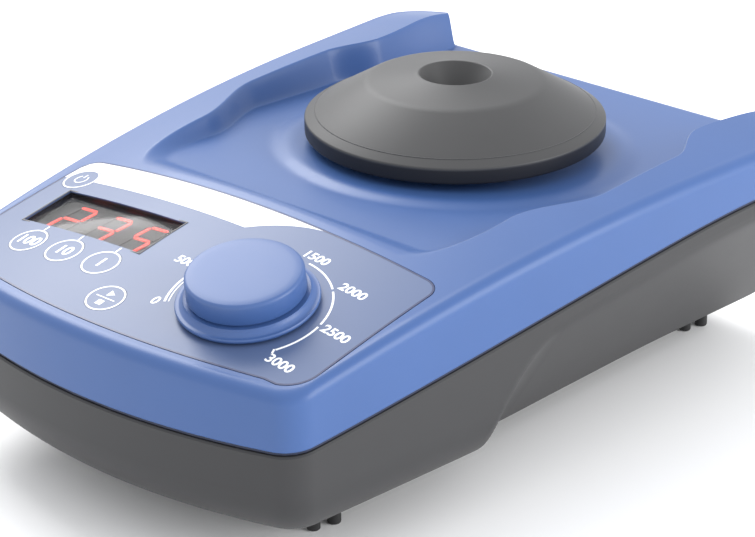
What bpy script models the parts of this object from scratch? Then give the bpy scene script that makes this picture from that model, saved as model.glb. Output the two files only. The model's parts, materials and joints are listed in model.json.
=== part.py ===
"""Compact orbital laboratory shaker: a wedge-shaped bench housing with a sloping
control panel, a tray between two raised wings, and a push-on conical attachment
that an eccentric drive moves round a 4.5 mm circle."""

import math

import bmesh
import bpy
from mathutils import Matrix, Vector

for old in list(bpy.data.objects):
    bpy.data.objects.remove(old, do_unlink=True)

# Housing plan, seen from above (metres, front at -Y)
BODY_DEPTH = 0.205
FRONT_HALF_WIDTH = 0.0610
REAR_HALF_WIDTH = 0.0770
SIDE_SWELL = 0.0008
FRONT_RADIUS = 0.185
FRONT_CORNER = 0.0085
REAR_CORNER = 0.0100

# Housing in side view
WING_HEIGHT = 0.0658
NOSE_DROP = 0.01685
NOSE_END_SHARE = 0.744
NOSE_POWER_SHARE = 2.03
TAIL_DROP = 0.0030
TAIL_LENGTH = 0.0225
CROWN_RADIUS = 0.413
SEAM_FRONT = 0.0358
SEAM_REAR = 0.0550
SEAM_MIDDLE = 0.0482
SEAM_SLOPE_SHARE = 0.1255
SEAM_BLEND = 0.0030
BASE_HEIGHT = 0.0100
SEAM_GAP = 0.0009

# Walls, clearances and roundings of the two shells
WALL = 0.0024
CLEARANCE = 0.0003
OVERRUN = 0.0040
TOP_ROUND = 0.0032
BELLY_HEIGHT = 0.0160
BELLY_INSET = 0.0200
REAR_BELLY_SHARE = 0.15
TURN_SHARE = 0.37
CREASE_DEG = 35
SHELL_CREASE_DEG = 28
STUD_CREASE_DEG = 50
GASKET_INSET = 0.0007
GASKET_WIDTH = 0.0014

# Tray between the wings
TRAY_REAR_HEIGHT = 0.0565
TRAY_SLOPE_SHARE = 0.040
TRAY_FRONT = -0.0360
TRAY_CORNER = 0.0090
TRAY_FRONT_RUN = 0.0070
TRAY_WALL_RUN = 0.0024
TRAY_FRONT_HALF = 0.0520
TRAY_BULGE_HALF = 0.0605
TRAY_NECK_HALF = 0.0545
TRAY_REAR_HALF = 0.0595
BULGE_START = -0.0080
BULGE_FULL = 0.0190
BULGE_END = 0.0480
NECK_Y = 0.0640

# Side undercuts of the lower shell
UNDERCUT_BAND = 0.0059
UNDERCUT_START = -0.0365
UNDERCUT_FULL = -0.0060
UNDERCUT_POWER_SHARE = 1.9
UNDERCUT_SLOPE_SHARE = 0.61

# Control panel film and its parts
PANEL_HALF_WIDTH = 0.0600
PANEL_FRONT = -0.0981
PANEL_REAR = -0.0408
PANEL_RADIUS = 0.174
PANEL_FRONT_CORNER = 0.0088
PANEL_REAR_CORNER = 0.0045
FILM_THICKNESS = 0.0004
WINDOW_CENTRE_X = -0.0297
WINDOW_CENTRE_Y = -0.0643
WINDOW_WIDTH = 0.0421
WINDOW_HEIGHT = 0.0157
WINDOW_THICKNESS = 0.0010
WINDOW_DEPTH = 0.0010
KEY_RADIUS = 0.0050
KEY_TRAVEL = 0.0005
KEY_FLANGE = 0.0010
KEY_STEM_RADIUS = 0.0018
KEY_PLACES = {
    "power_key": (-0.0535, -0.0503),
    "hundreds_key": (-0.0403, -0.0794),
    "tens_key": (-0.0272, -0.0794),
    "ones_key": (-0.0140, -0.0794),
    "start_stop_key": (-0.0012, -0.0896),
}
KNOB_X = 0.0291
KNOB_Y = -0.0730
KNOB_RADIUS = 0.0140
KNOB_HEIGHT = 0.0087
KNOB_SKIRT_RADIUS = 0.0169
KNOB_GROOVE_DEPTH = 0.0008
KNOB_GROOVE_HEIGHT = 0.0030
KNOB_SHAFT_RADIUS = 0.0030
ENCODER_SIZE = 0.0130
ENCODER_HEIGHT = 0.0050
BOARD_THICKNESS = 0.0016
BOARD_DROP = 0.0125
BOARD_HALF_WIDTH = 0.0570
BOARD_REAR = -0.0460
BOARD_FRONT = -0.0905
SWITCH_SIZE = 0.0060
SWITCH_HEIGHT = 0.0035

# Eccentric drive
TABLE_CENTRE_Y = 0.0330
ECCENTRICITY = 0.00225
SHAFT_RADIUS = 0.0030
BEARING_RADIUS = 0.0080
BEARING_WIDTH = 0.0050
MOTOR_RADIUS = 0.0255
MOTOR_LENGTH = 0.0120
ROTOR_RADIUS = 0.0130
MOUNT_RADIUS = 0.0290
MOUNT_FLANGE_RADIUS = 0.0350
MOUNT_HEIGHT = 0.0200
HUB_RADIUS = 0.0105
HUB_HEIGHT = 0.0140
WEIGHT_RADIUS = 0.0135
WEIGHT_THICKNESS = 0.0028
PIN_RADIUS = 0.0025
SMALL_BEARING_RADIUS = 0.0065
SMALL_BEARING_WIDTH = 0.0032
DRIVE_PLATE_RADIUS = 0.0275
DRIVE_PLATE_THICKNESS = 0.0030
CRANK_CIRCLE = 0.0205
CRANK_COUNT = 3
CRANK_RADIUS = 0.0050
CRANK_THICKNESS = 0.0020
CRANK_PIN_RADIUS = 0.0016
NECK_RADIUS = 0.0090
TABLE_RADIUS = 0.0330
TABLE_THICKNESS = 0.0032
TABLE_GAP = 0.0008
PLINTH_RADIUS = 0.0490
PLINTH_TOP_RADIUS = 0.0430
PLINTH_HEIGHT = 0.0010
COLLAR_WIDTH = 0.0020

# Push-on attachment
DISC_RADIUS = 0.0396
DISC_BOTTOM = 0.0638
DISC_RIM_TOP = 0.0684
CONE_TOP_RADIUS = 0.0234
CONE_TOP = 0.0777
CUP_RADIUS = 0.0093
CUP_TOP = 0.0795
CUP_FLOOR_RADIUS = 0.0052
CUP_DEPTH = 0.0085
CAP_WALL = 0.0020

# Feet, screws and inlet
FOOT_X = 0.0362
FOOT_FRONT_Y = -0.0605
FOOT_REAR_Y = 0.0885
FOOT_RADIUS = 0.0078
FOOT_DISC = 0.0020
STUD_RADIUS = 0.0017
STUD_COUNT = 6
SCREW_FRONT_X = 0.0440
SCREW_FRONT_Y = -0.0375
SCREW_REAR_X = 0.0460
SCREW_REAR_Y = 0.0760
SCREW_RADIUS = 0.0015
SCREW_HEAD_RADIUS = 0.0030
BOSS_RADIUS = 0.0048
BOSS_BELOW_SEAM = 0.0040
INLET_X = 0.0250
INLET_Z = 0.0300
INLET_SIZE = 0.0120
INLET_LENGTH = 0.0120
INLET_BORE = 0.0032
INLET_PIN = 0.0010
MAIN_BOARD_FRONT = 0.0740
MAIN_BOARD_REAR = 0.0960
MAIN_BOARD_HALF = 0.0400
CAPACITOR_RADIUS = 0.0050
CAPACITOR_HEIGHT = 0.0140
RIBBON_WIDTH = 0.0080
RIBBON_THICKNESS = 0.0008
RIBBON_X = 0.0340
RIBBON_HEIGHT = 0.0170
RIBBON_DROP_Y = -0.0480

# Places worked out from the sizes above
FRONT_Y = -BODY_DEPTH / 2
REAR_Y = BODY_DEPTH / 2
MEAN_HALF_WIDTH = (FRONT_HALF_WIDTH + REAR_HALF_WIDTH) / 2
SHAFT_Y = TABLE_CENTRE_Y - ECCENTRICITY
FLOOR = BASE_HEIGHT + WALL
MOUNT_TOP = FLOOR + CLEARANCE + MOUNT_HEIGHT
HUB_TOP = MOUNT_TOP + HUB_HEIGHT
WEIGHT_BOTTOM = HUB_TOP + CLEARANCE
WEIGHT_TOP = WEIGHT_BOTTOM + WEIGHT_THICKNESS
DRIVE_BOTTOM = WEIGHT_TOP + CLEARANCE
DRIVE_TOP = DRIVE_BOTTOM + DRIVE_PLATE_THICKNESS
KEY_HOLE_RADIUS = KEY_RADIUS + CLEARANCE


def material(name, colour, roughness, metallic=0.0):
    """Principled finish with one colour, roughness and metallic value."""
    finish = bpy.data.materials.new(name)
    finish.use_nodes = True
    shader = finish.node_tree.nodes["Principled BSDF"]
    shader.inputs["Base Color"].default_value = (*colour, 1.0)
    shader.inputs["Roughness"].default_value = roughness
    shader.inputs["Metallic"].default_value = metallic
    return finish


BLUE_PAINT = material("blue_paint", (0.13, 0.25, 0.60), 0.35)
GREY_PAINT = material("grey_paint", (0.10, 0.10, 0.11), 0.45)
SEAL_RUBBER = material("seal_rubber", (0.012, 0.02, 0.05), 0.6)
PANEL_PRINT = material("panel_print", (0.22, 0.31, 0.60), 0.4)
SMOKED_GLASS = material("smoked_glass", (0.03, 0.03, 0.03), 0.1)
RED_LIGHT = material("red_light", (0.9, 0.05, 0.03), 0.4)
DARK_PLASTIC = material("dark_plastic", (0.03, 0.03, 0.03), 0.5)
KEY_PRINT = material("key_print", (0.20, 0.30, 0.62), 0.4)
KNOB_PLASTIC = material("knob_plastic", (0.12, 0.24, 0.62), 0.4)
BOARD_GREEN = material("board_green", (0.02, 0.12, 0.05), 0.4)
GREY_RUBBER = material("grey_rubber", (0.12, 0.12, 0.12), 0.6)
BLACK_RUBBER = material("black_rubber", (0.01, 0.01, 0.01), 0.7)
STEEL = material("steel", (0.6, 0.6, 0.6), 0.3, 1.0)
ALUMINIUM = material("aluminium", (0.75, 0.75, 0.76), 0.4, 1.0)
BRASS = material("brass", (0.7, 0.5, 0.2), 0.35, 1.0)


def add_object(name, mesh_source, finish, place=None, smooth=True, crease=CREASE_DEG):
    """Turn a bmesh into a named object with one finish and outward faces."""
    bmesh.ops.remove_doubles(mesh_source, verts=mesh_source.verts[:], dist=CLEARANCE / 100)
    bmesh.ops.recalc_face_normals(mesh_source, faces=mesh_source.faces[:])
    mesh = bpy.data.meshes.new(name)
    mesh_source.to_mesh(mesh)
    mesh_source.free()
    mesh.materials.append(finish)
    if smooth:
        mesh.shade_smooth()
        mesh.set_sharp_from_angle(angle=math.radians(crease))
    piece = bpy.data.objects.new(name, mesh)
    bpy.context.scene.collection.objects.link(piece)
    if place is not None:
        piece.matrix_world = place
    return piece


def boolean(target, tool, operation="DIFFERENCE"):
    """Cut or join with another object, which is then only a guide."""
    modifier = target.modifiers.new(tool.name, "BOOLEAN")
    modifier.operation = operation
    modifier.object = tool
    tool.hide_render = True
    tool.display_type = "WIRE"


def turned(profile, segments):
    """Revolve a closed profile of (radius, height) points round the Z axis."""
    shape = bmesh.new()
    rings = []
    for radius, height in profile:
        if radius <= 0:
            rings.append([shape.verts.new((0, 0, height))] * segments)
            continue
        ring = []
        for step in range(segments):
            angle = 2 * math.pi * (step + TURN_SHARE) / segments
            ring.append(shape.verts.new((radius * math.cos(angle), radius * math.sin(angle), height)))
        rings.append(ring)
    for index, ring in enumerate(rings):
        following = rings[(index + 1) % len(rings)]
        for step in range(segments):
            after = (step + 1) % segments
            corners = [ring[step], ring[after], following[after], following[step]]
            face = [v for i, v in enumerate(corners) if v not in corners[:i]]
            if len(face) > 2:
                shape.faces.new(face)
    return shape


def rod(radius, bottom, top, segments=24):
    """Solid cylinder on the Z axis."""
    return turned([(0, bottom), (radius, bottom), (radius, top), (0, top)], segments)


def tube(inner, outer, bottom, top, segments=24):
    """Ring with a bore on the Z axis."""
    return turned([(inner, bottom), (outer, bottom), (outer, top), (inner, top)], segments)


def box(width, depth, height, centre=(0, 0, 0)):
    """Rectangular block round a centre."""
    shape = bmesh.new()
    scale = Matrix.Diagonal((width, depth, height, 1))
    bmesh.ops.create_cube(shape, size=1, matrix=Matrix.Translation(centre) @ scale)
    return shape


def extruded(points, bottom, top):
    """Straight prism over a closed outline of (x, y) points."""
    shape = bmesh.new()
    low = [shape.verts.new((x, y, bottom)) for x, y in points]
    high = [shape.verts.new((x, y, top)) for x, y in points]
    shape.faces.new(low)
    shape.faces.new(high)
    for index in range(len(points)):
        after = (index + 1) % len(points)
        shape.faces.new((low[index], low[after], high[after], high[index]))
    return shape


def move(shape, x, y, z=0):
    """Shift a bmesh and return it."""
    bmesh.ops.translate(shape, verts=shape.verts[:], vec=(x, y, z))
    return shape


def smooth_step(value, start, end):
    """Soft rise from 0 at start to 1 at end."""
    share = min(1.0, max(0.0, (value - start) / (end - start)))
    return share * share * (3 - 2 * share)


def soft_min(first, second, blend):
    """Smaller of two lengths with a rounded change-over."""
    return (first + second - math.hypot(first - second, blend)) / 2


def soft_max(first, second, blend):
    """Larger of two lengths with a rounded change-over."""
    return (first + second + math.hypot(first - second, blend)) / 2


def half_width(y):
    """Half width of the housing at its seam."""
    share = (REAR_Y - y) / BODY_DEPTH
    straight = REAR_HALF_WIDTH + (FRONT_HALF_WIDTH - REAR_HALF_WIDTH) * share
    return straight + SIDE_SWELL * 4 * share * (1 - share)


def seam_height(y):
    """Height of the parting line, level at the front and rising to the rear."""
    line = SEAM_MIDDLE + SEAM_SLOPE_SHARE * y
    return soft_max(soft_min(line, SEAM_REAR, SEAM_BLEND), SEAM_FRONT, SEAM_BLEND)


def edge_height(y):
    """Height of the wings' outer edges along the housing."""
    share = min(1.0, max(0.0, (y - FRONT_Y) / (BODY_DEPTH * NOSE_END_SHARE)))
    rise = WING_HEIGHT - NOSE_DROP * (1 - share) ** NOSE_POWER_SHARE
    tail = max(0.0, (y - (REAR_Y - TAIL_LENGTH)) / TAIL_LENGTH)
    return rise - TAIL_DROP * tail * tail


def crown_height(x, y):
    """Arched surface of the housing before the tray is sunk into it."""
    side = half_width(y)
    return edge_height(y) + (side * side - x * x) / (2 * CROWN_RADIUS)


def tray_height(y):
    """Tray floor, which falls gently to the rear."""
    return TRAY_REAR_HEIGHT + TRAY_SLOPE_SHARE * (REAR_Y - y)


def tray_half_width(y):
    """Half width of the tray: it swells round the attachment."""
    swell = (TRAY_BULGE_HALF - TRAY_FRONT_HALF) * smooth_step(y, BULGE_START, BULGE_FULL)
    neck = (TRAY_BULGE_HALF - TRAY_NECK_HALF) * smooth_step(y, BULGE_END, NECK_Y)
    flare = (TRAY_REAR_HALF - TRAY_NECK_HALF) * smooth_step(y, NECK_Y, REAR_Y)
    return TRAY_FRONT_HALF + swell - neck + flare


def tray_share(x, y, grow):
    """How far a point is sunk into the tray, from 0 outside to 1 on its floor."""
    across = abs(x) - (tray_half_width(y) + grow - TRAY_CORNER)
    squeeze = TRAY_WALL_RUN / TRAY_FRONT_RUN
    along = (TRAY_FRONT - grow - y) * squeeze + TRAY_CORNER
    outside = math.hypot(max(across, 0.0), max(along, 0.0))
    distance = outside + min(max(across, along), 0.0) - TRAY_CORNER
    return smooth_step(-distance, -TRAY_WALL_RUN / 3, TRAY_WALL_RUN)


def top_height(x, y, grow=0.0):
    """Upper surface of the housing, tray included."""
    crown = crown_height(x, y)
    depth = max(0.0, crown - tray_height(y))
    return crown - depth * tray_share(x, y, grow)


def half_outline():
    """Right half of the housing plan from the front middle to the rear corner."""
    def corner_gap(reach):
        tilt = math.atan2(-1, reach / FRONT_RADIUS)
        x = reach - FRONT_CORNER * math.cos(tilt)
        y = FRONT_Y + reach * reach / (2 * FRONT_RADIUS) - FRONT_CORNER * math.sin(tilt)
        return tilt, x, y, x + FRONT_CORNER - half_width(y)

    low, high = FRONT_HALF_WIDTH / 2, REAR_HALF_WIDTH
    for _ in range(40):
        middle = (low + high) / 2
        if corner_gap(middle)[3] > 0:
            high = middle
        else:
            low = middle
    tilt, corner_x, corner_y, _ = corner_gap(low)

    points = []
    for step in range(7):
        x = low * (step / 7) ** 0.8
        points.append((x, FRONT_Y + x * x / (2 * FRONT_RADIUS)))
    for step in range(5):
        angle = tilt * (1 - step / 4)
        x = corner_x + FRONT_CORNER * math.cos(angle)
        points.append((x, corner_y + FRONT_CORNER * math.sin(angle)))
    stretches = [
        (corner_y, TRAY_FRONT - TRAY_CORNER, 6),
        (TRAY_FRONT - TRAY_CORNER, TRAY_FRONT + TRAY_CORNER, 8),
        (TRAY_FRONT + TRAY_CORNER, BULGE_START, 4),
        (BULGE_START, BULGE_FULL, 6),
        (BULGE_FULL, BULGE_END, 4),
        (BULGE_END, NECK_Y, 5),
        (NECK_Y, REAR_Y - REAR_CORNER, 6),
    ]
    for start, end, count in stretches:
        for step in range(1, count + 1):
            y = start + (end - start) * step / count
            points.append((half_width(y), y))
    corner_x = half_width(REAR_Y - REAR_CORNER) - REAR_CORNER
    for step in range(1, 5):
        angle = math.pi / 2 * step / 4
        x = corner_x + REAR_CORNER * math.cos(angle)
        points.append((x, REAR_Y - REAR_CORNER + REAR_CORNER * math.sin(angle)))
    return points


OUTLINE = half_outline()


def shrink(x, y, inset, rear_inset):
    """Move a plan point inwards, with its own amount at the rear."""
    share = (y - FRONT_Y) / BODY_DEPTH
    return x * (1 - inset / MEAN_HALF_WIDTH), y + inset * (1 - share) - rear_inset * share


def column_places(reach, y, grow):
    """Sample places across the housing, close together at the tray wall."""
    wall = min(tray_half_width(y) + grow, reach * 0.93)
    run = min(TRAY_WALL_RUN, (reach - wall) * 0.5)
    half = [wall / 2, wall - run, wall - run / 3, wall + run / 3, (wall + reach) / 2]
    return [-x for x in reversed(half)] + [0.0] + half


def skin(shape, inset, grow, height):
    """One skin of the upper shell: its rows and the chain of points round them."""
    rows = []
    for x, y in OUTLINE:
        reach, along = shrink(x, y, inset, inset)
        places = [-reach] + column_places(reach, along, grow) + [reach]
        if x == 0:
            vertex = shape.verts.new((0, along, height(0, along)))
            rows.append([vertex] * len(places))
        else:
            rows.append([shape.verts.new((px, along, height(px, along))) for px in places])
    for near, far in zip(rows, rows[1:]):
        for index in range(len(near) - 1):
            corners = [near[index], near[index + 1], far[index + 1], far[index]]
            face = [v for i, v in enumerate(corners) if v not in corners[:i]]
            if len(face) > 2:
                shape.faces.new(face)
    chain = [row[-1] for row in rows] + rows[-1][-2:0:-1]
    chain += [row[0] for row in reversed(rows[1:])]
    return chain


def join_chains(shape, first, second):
    """Close the band between two chains of the same length."""
    for index in range(len(first)):
        after = (index + 1) % len(first)
        shape.faces.new((first[index], first[after], second[after], second[index]))


def scaled_chain(shape, chain, from_inset, to_inset, height):
    """Copy a chain outwards or inwards at heights given by a function."""
    copy = []
    for vertex in chain:
        x = vertex.co.x * (1 - to_inset / MEAN_HALF_WIDTH) / (1 - from_inset / MEAN_HALF_WIDTH)
        y = vertex.co.y * (1 - to_inset / REAR_Y) / (1 - from_inset / REAR_Y)
        copy.append(shape.verts.new((x, y, height(vertex, y))))
    return copy


def housing_shell():
    """Upper shell: rounded outer skin, inner skin and the rim between them."""
    shape = bmesh.new()
    outer = skin(shape, TOP_ROUND, 0.0, top_height)
    previous = outer
    steps = 4
    for step in range(1, steps + 1):
        angle = math.pi / 2 * step / steps

        def lowered(vertex, y, angle=angle):
            room = (vertex.co.z - seam_height(y)) * 0.6
            return vertex.co.z - min(TOP_ROUND, room) * (1 - math.cos(angle))

        inset = TOP_ROUND * (1 - math.sin(angle))
        ring = scaled_chain(shape, outer, TOP_ROUND, inset, lowered)
        join_chains(shape, previous, ring)
        previous = ring
    foot = scaled_chain(shape, previous, 0.0, 0.0, lambda v, y: seam_height(y))
    join_chains(shape, previous, foot)

    def inner_height(x, y):
        floor = seam_height(y) + CLEARANCE
        return max(top_height(x, y, WALL) - WALL, floor)

    inner = skin(shape, WALL, WALL, inner_height)
    inner_foot = scaled_chain(shape, inner, WALL, WALL, lambda v, y: seam_height(y))
    join_chains(shape, inner, inner_foot)
    join_chains(shape, foot, inner_foot)
    return shape


def stacked_plan(levels):
    """Closed solid from plan rings, each two insets and a height function of y."""
    shape = bmesh.new()
    rings = []
    for inset, rear_inset, height in levels:
        right = []
        left = []
        for x, y in OUTLINE:
            px, py = shrink(x, y, inset, rear_inset)
            right.append(shape.verts.new((px, py, height(py))))
            left.append(right[-1] if x == 0 else shape.verts.new((-px, py, height(py))))
        rings.append((right, left))
    for (right, left) in (rings[0], rings[-1]):
        for index in range(len(right) - 1):
            corners = [left[index], right[index], right[index + 1], left[index + 1]]
            face = [v for i, v in enumerate(corners) if v not in corners[:i]]
            shape.faces.new(face)
    for (right, left), (next_right, next_left) in zip(rings, rings[1:]):
        for index in range(len(right) - 1):
            after = index + 1
            shape.faces.new((right[index], right[after], next_right[after], next_right[index]))
            shape.faces.new((left[index], left[after], next_left[after], next_left[index]))
        shape.faces.new((right[-1], left[-1], next_left[-1], next_right[-1]))
    return shape


def belly_levels(wall, top):
    """Plan rings of the lower shell from its flat base up to a top height."""
    levels = []
    steps = 4
    for step in range(steps + 1):
        angle = math.pi / 2 * step / steps
        run = (BELLY_INSET - wall / 2) * (1 - math.sin(angle))
        rise = BASE_HEIGHT + wall + (BELLY_HEIGHT - wall / 2) * (1 - math.cos(angle))
        levels.append((wall + run, wall + run * REAR_BELLY_SHARE, lambda y, rise=rise: rise))
    levels.append((wall, wall, top))
    return levels


def undercut_height(y):
    """Upper edge of the slanted side undercut."""
    if y >= UNDERCUT_FULL:
        return seam_height(y) - UNDERCUT_BAND
    top = seam_height(UNDERCUT_FULL) - UNDERCUT_BAND
    share = (UNDERCUT_FULL - y) / (UNDERCUT_FULL - UNDERCUT_START)
    return top - (top - BASE_HEIGHT) * share ** UNDERCUT_POWER_SHARE


def undercut_tool(name, side, wall):
    """Wedge that cuts one slanted side; grown inwards by a wall for the cavity."""
    shape = bmesh.new()
    stations = 15
    start = UNDERCUT_START - wall
    end = REAR_Y + OVERRUN
    rows = []
    for step in range(stations + 1):
        y = start + (end - start) * (step / stations) ** 1.25
        top = undercut_height(y + wall) + wall / 2
        low = BASE_HEIGHT - OVERRUN
        outer = REAR_HALF_WIDTH + OVERRUN
        edge = half_width(y) - wall
        foot = edge - UNDERCUT_SLOPE_SHARE * (top - low)
        over = top + (outer - edge) / UNDERCUT_SLOPE_SHARE
        corners = [(foot, low), (outer, over), (outer, low)]
        rows.append([shape.verts.new((side * x, y, z)) for x, z in corners])
    for near, far in zip(rows, rows[1:]):
        join_chains(shape, near, far)
    shape.faces.new(rows[0])
    shape.faces.new(rows[-1])
    return add_object(name, shape, GREY_PAINT)


def surface_frame(x, y, depth=0.0):
    """Local frame on the sloping panel: Z along its normal, X to the right."""
    step = CLEARANCE
    slope_x = (crown_height(x + step, y) - crown_height(x - step, y)) / (2 * step)
    slope_y = (crown_height(x, y + step) - crown_height(x, y - step)) / (2 * step)
    normal = Vector((-slope_x, -slope_y, 1)).normalized()
    right = Vector((1, 0, slope_x)).normalized()
    back = normal.cross(right)
    origin = Vector((x, y, crown_height(x, y))) - normal * depth
    frame = Matrix((right, back, normal)).transposed().to_4x4()
    frame.translation = origin
    return frame


def board_frame():
    """Frame of the control board, square to the panel's middle."""
    middle = (BOARD_FRONT + BOARD_REAR) / 2
    return surface_frame(0, middle, BOARD_DROP)


def panel_outline(grow):
    """Right half of the film's outline from the front middle to the rear."""
    points = []
    side = PANEL_HALF_WIDTH + grow
    corner = PANEL_FRONT_CORNER + grow
    start = side - corner
    for step in range(5):
        x = start * step / 5
        points.append((x, PANEL_FRONT - grow + x * x / (2 * PANEL_RADIUS)))
    tilt = math.atan2(start, PANEL_RADIUS) - math.pi / 2
    low = PANEL_FRONT - grow + start * start / (2 * PANEL_RADIUS) - corner * math.sin(tilt)
    start = side - corner
    for step in range(5):
        angle = tilt * (1 - step / 4)
        points.append((start + corner * math.cos(angle), low + corner * math.sin(angle)))
    corner = PANEL_REAR_CORNER + grow
    rear = PANEL_REAR + grow - corner
    for step in range(1, 4):
        points.append((side, low + (rear - low) * step / 4))
    for step in range(4):
        angle = math.pi / 2 * step / 3
        x = side - corner + corner * math.cos(angle)
        points.append((x, rear + corner * math.sin(angle)))
    return points


def panel_sheet(grow, above, below):
    """Closed sheet that follows the panel surface between two offsets."""
    shape = bmesh.new()
    columns = 8
    layers = []
    for offset in (above, below):
        rows = []
        for x, y in panel_outline(grow):
            if x == 0:
                vertex = shape.verts.new((0, y, crown_height(0, y) + offset))
                rows.append([vertex] * (columns + 1))
                continue
            places = [x * (2 * step / columns - 1) for step in range(columns + 1)]
            rows.append([shape.verts.new((px, y, crown_height(px, y) + offset)) for px in places])
        for near, far in zip(rows, rows[1:]):
            for index in range(columns):
                corners = [near[index], near[index + 1], far[index + 1], far[index]]
                face = [v for i, v in enumerate(corners) if v not in corners[:i]]
                if len(face) > 2:
                    shape.faces.new(face)
        chain = [row[-1] for row in rows] + rows[-1][-2:0:-1]
        chain += [row[0] for row in reversed(rows[1:])]
        layers.append(chain)
    join_chains(shape, layers[0], layers[1])
    return shape


def screw_places():
    """Name and place of each housing screw."""
    return {
        "screw_front_left": (-SCREW_FRONT_X, SCREW_FRONT_Y),
        "screw_front_right": (SCREW_FRONT_X, SCREW_FRONT_Y),
        "screw_rear_left": (-SCREW_REAR_X, SCREW_REAR_Y),
        "screw_rear_right": (SCREW_REAR_X, SCREW_REAR_Y),
    }


def make_upper_housing():
    """Blue upper shell with its tray, film recess, openings and screw bosses."""
    upper = add_object("upper_housing", housing_shell(), BLUE_PAINT, crease=SHELL_CREASE_DEG)
    tray = tray_height(SHAFT_Y)
    profile = [(0, -WALL / 2), (PLINTH_RADIUS, -WALL / 2), (PLINTH_RADIUS, CLEARANCE / 3)]
    profile += [(PLINTH_TOP_RADIUS, PLINTH_HEIGHT), (0, PLINTH_HEIGHT)]
    tilt = Matrix.Rotation(-math.atan(TRAY_SLOPE_SHARE), 4, "X")
    place = Matrix.Translation((0, TABLE_CENTRE_Y, tray_height(TABLE_CENTRE_Y))) @ tilt
    plinth = add_object("plinth_form", turned(profile, 44), BLUE_PAINT, place)
    boolean(upper, plinth, "UNION")
    collar_top = DISC_BOTTOM - TABLE_GAP - TABLE_GAP - CLEARANCE
    opening = NECK_RADIUS + ECCENTRICITY + TABLE_GAP
    collar = rod(opening + COLLAR_WIDTH, tray - WALL, collar_top, 40)
    boolean(upper, add_object("collar_form", move(collar, 0, SHAFT_Y), BLUE_PAINT), "UNION")
    for name, (x, y) in screw_places().items():
        bottom = seam_height(y) - BOSS_BELOW_SEAM + CLEARANCE
        top = top_height(x, y, WALL) - WALL / 2
        boss = add_object(name + "_boss", move(rod(BOSS_RADIUS, bottom, top, 20), x, y), BLUE_PAINT)
        boolean(upper, boss, "UNION")
        hole_top = top - WALL
        hole = rod(SCREW_RADIUS + CLEARANCE, bottom - OVERRUN, hole_top, 12)
        boolean(upper, add_object(name + "_hole", move(hole, x, y), BLUE_PAINT))
    recess = panel_sheet(CLEARANCE, OVERRUN, -FILM_THICKNESS - CLEARANCE)
    boolean(upper, add_object("film_recess", recess, BLUE_PAINT))
    bore = rod(opening, tray - 2 * OVERRUN, collar_top + OVERRUN, 34)
    boolean(upper, add_object("spindle_opening", move(bore, 0, SHAFT_Y), BLUE_PAINT))
    for tool in panel_holes("housing"):
        boolean(upper, tool)
    return upper


def panel_holes(prefix):
    """Guides for the openings through the panel: window, keys and knob shaft."""
    deep = WALL * 3
    tools = []
    window = box(WINDOW_WIDTH, WINDOW_HEIGHT, deep * 2)
    frame = surface_frame(WINDOW_CENTRE_X, WINDOW_CENTRE_Y)
    tools.append(add_object(prefix + "_window_hole", window, BLUE_PAINT, frame))
    for name, (x, y) in KEY_PLACES.items():
        hole = rod(KEY_HOLE_RADIUS, -deep, deep, 24)
        tools.append(add_object(prefix + "_" + name, hole, BLUE_PAINT, surface_frame(x, y)))
    hole = rod(KNOB_SHAFT_RADIUS + CLEARANCE, -deep, deep, 24)
    frame = surface_frame(KNOB_X, KNOB_Y)
    tools.append(add_object(prefix + "_shaft_hole", hole, BLUE_PAINT, frame))
    return tools


def make_lower_housing():
    """Grey lower shell: belly, slanted sides, cavity, screw posts and inlet hole."""
    def rim(y):
        return seam_height(y) - SEAM_GAP

    shell = stacked_plan(belly_levels(0.0, rim))
    lower = add_object("lower_housing", shell, GREY_PAINT, crease=SHELL_CREASE_DEG)
    for side, label in ((-1, "left"), (1, "right")):
        boolean(lower, undercut_tool("undercut_" + label, side, 0.0))
    cavity_shape = stacked_plan(belly_levels(WALL, lambda y: seam_height(y) + OVERRUN))
    cavity = add_object("cavity", cavity_shape, GREY_PAINT)
    for side, label in ((-1, "left"), (1, "right")):
        boolean(cavity, undercut_tool("undercut_inner_" + label, side, WALL))
    boolean(lower, cavity)
    for name, (x, y) in screw_places().items():
        top = seam_height(y) - BOSS_BELOW_SEAM
        post = rod(BOSS_RADIUS, BASE_HEIGHT + WALL * 0.8, top, 20)
        boolean(lower, add_object(name + "_post", move(post, x, y), GREY_PAINT), "UNION")
        bore = rod(SCREW_RADIUS + CLEARANCE, BASE_HEIGHT - OVERRUN, top + OVERRUN, 12)
        boolean(lower, add_object(name + "_bore", move(bore, x, y), GREY_PAINT))
        seat = rod(SCREW_HEAD_RADIUS + CLEARANCE, BASE_HEIGHT - OVERRUN, FLOOR, 16)
        boolean(lower, add_object(name + "_seat", move(seat, x, y), GREY_PAINT))
    hole = box(INLET_SIZE + 2 * CLEARANCE, OVERRUN * 4, INLET_SIZE + 2 * CLEARANCE)
    hole = move(hole, INLET_X, REAR_Y, INLET_Z)
    boolean(lower, add_object("inlet_hole", hole, GREY_PAINT))
    return lower


def make_gasket():
    """Dark sealing ring that fills the seam between the shells."""
    def low(y):
        return seam_height(y) - SEAM_GAP + CLEARANCE / 2

    def high(y):
        return seam_height(y) - CLEARANCE / 2

    inset = GASKET_INSET
    outer = stacked_plan([(inset, inset, low), (inset, inset, high)])
    ring = add_object("housing_gasket", outer, SEAL_RUBBER)
    inset = GASKET_INSET + GASKET_WIDTH
    inner = stacked_plan([
        (inset, inset, lambda y: low(y) - OVERRUN),
        (inset, inset, lambda y: high(y) + OVERRUN),
    ])
    boolean(ring, add_object("gasket_inside", inner, SEAL_RUBBER))
    return ring


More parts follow.
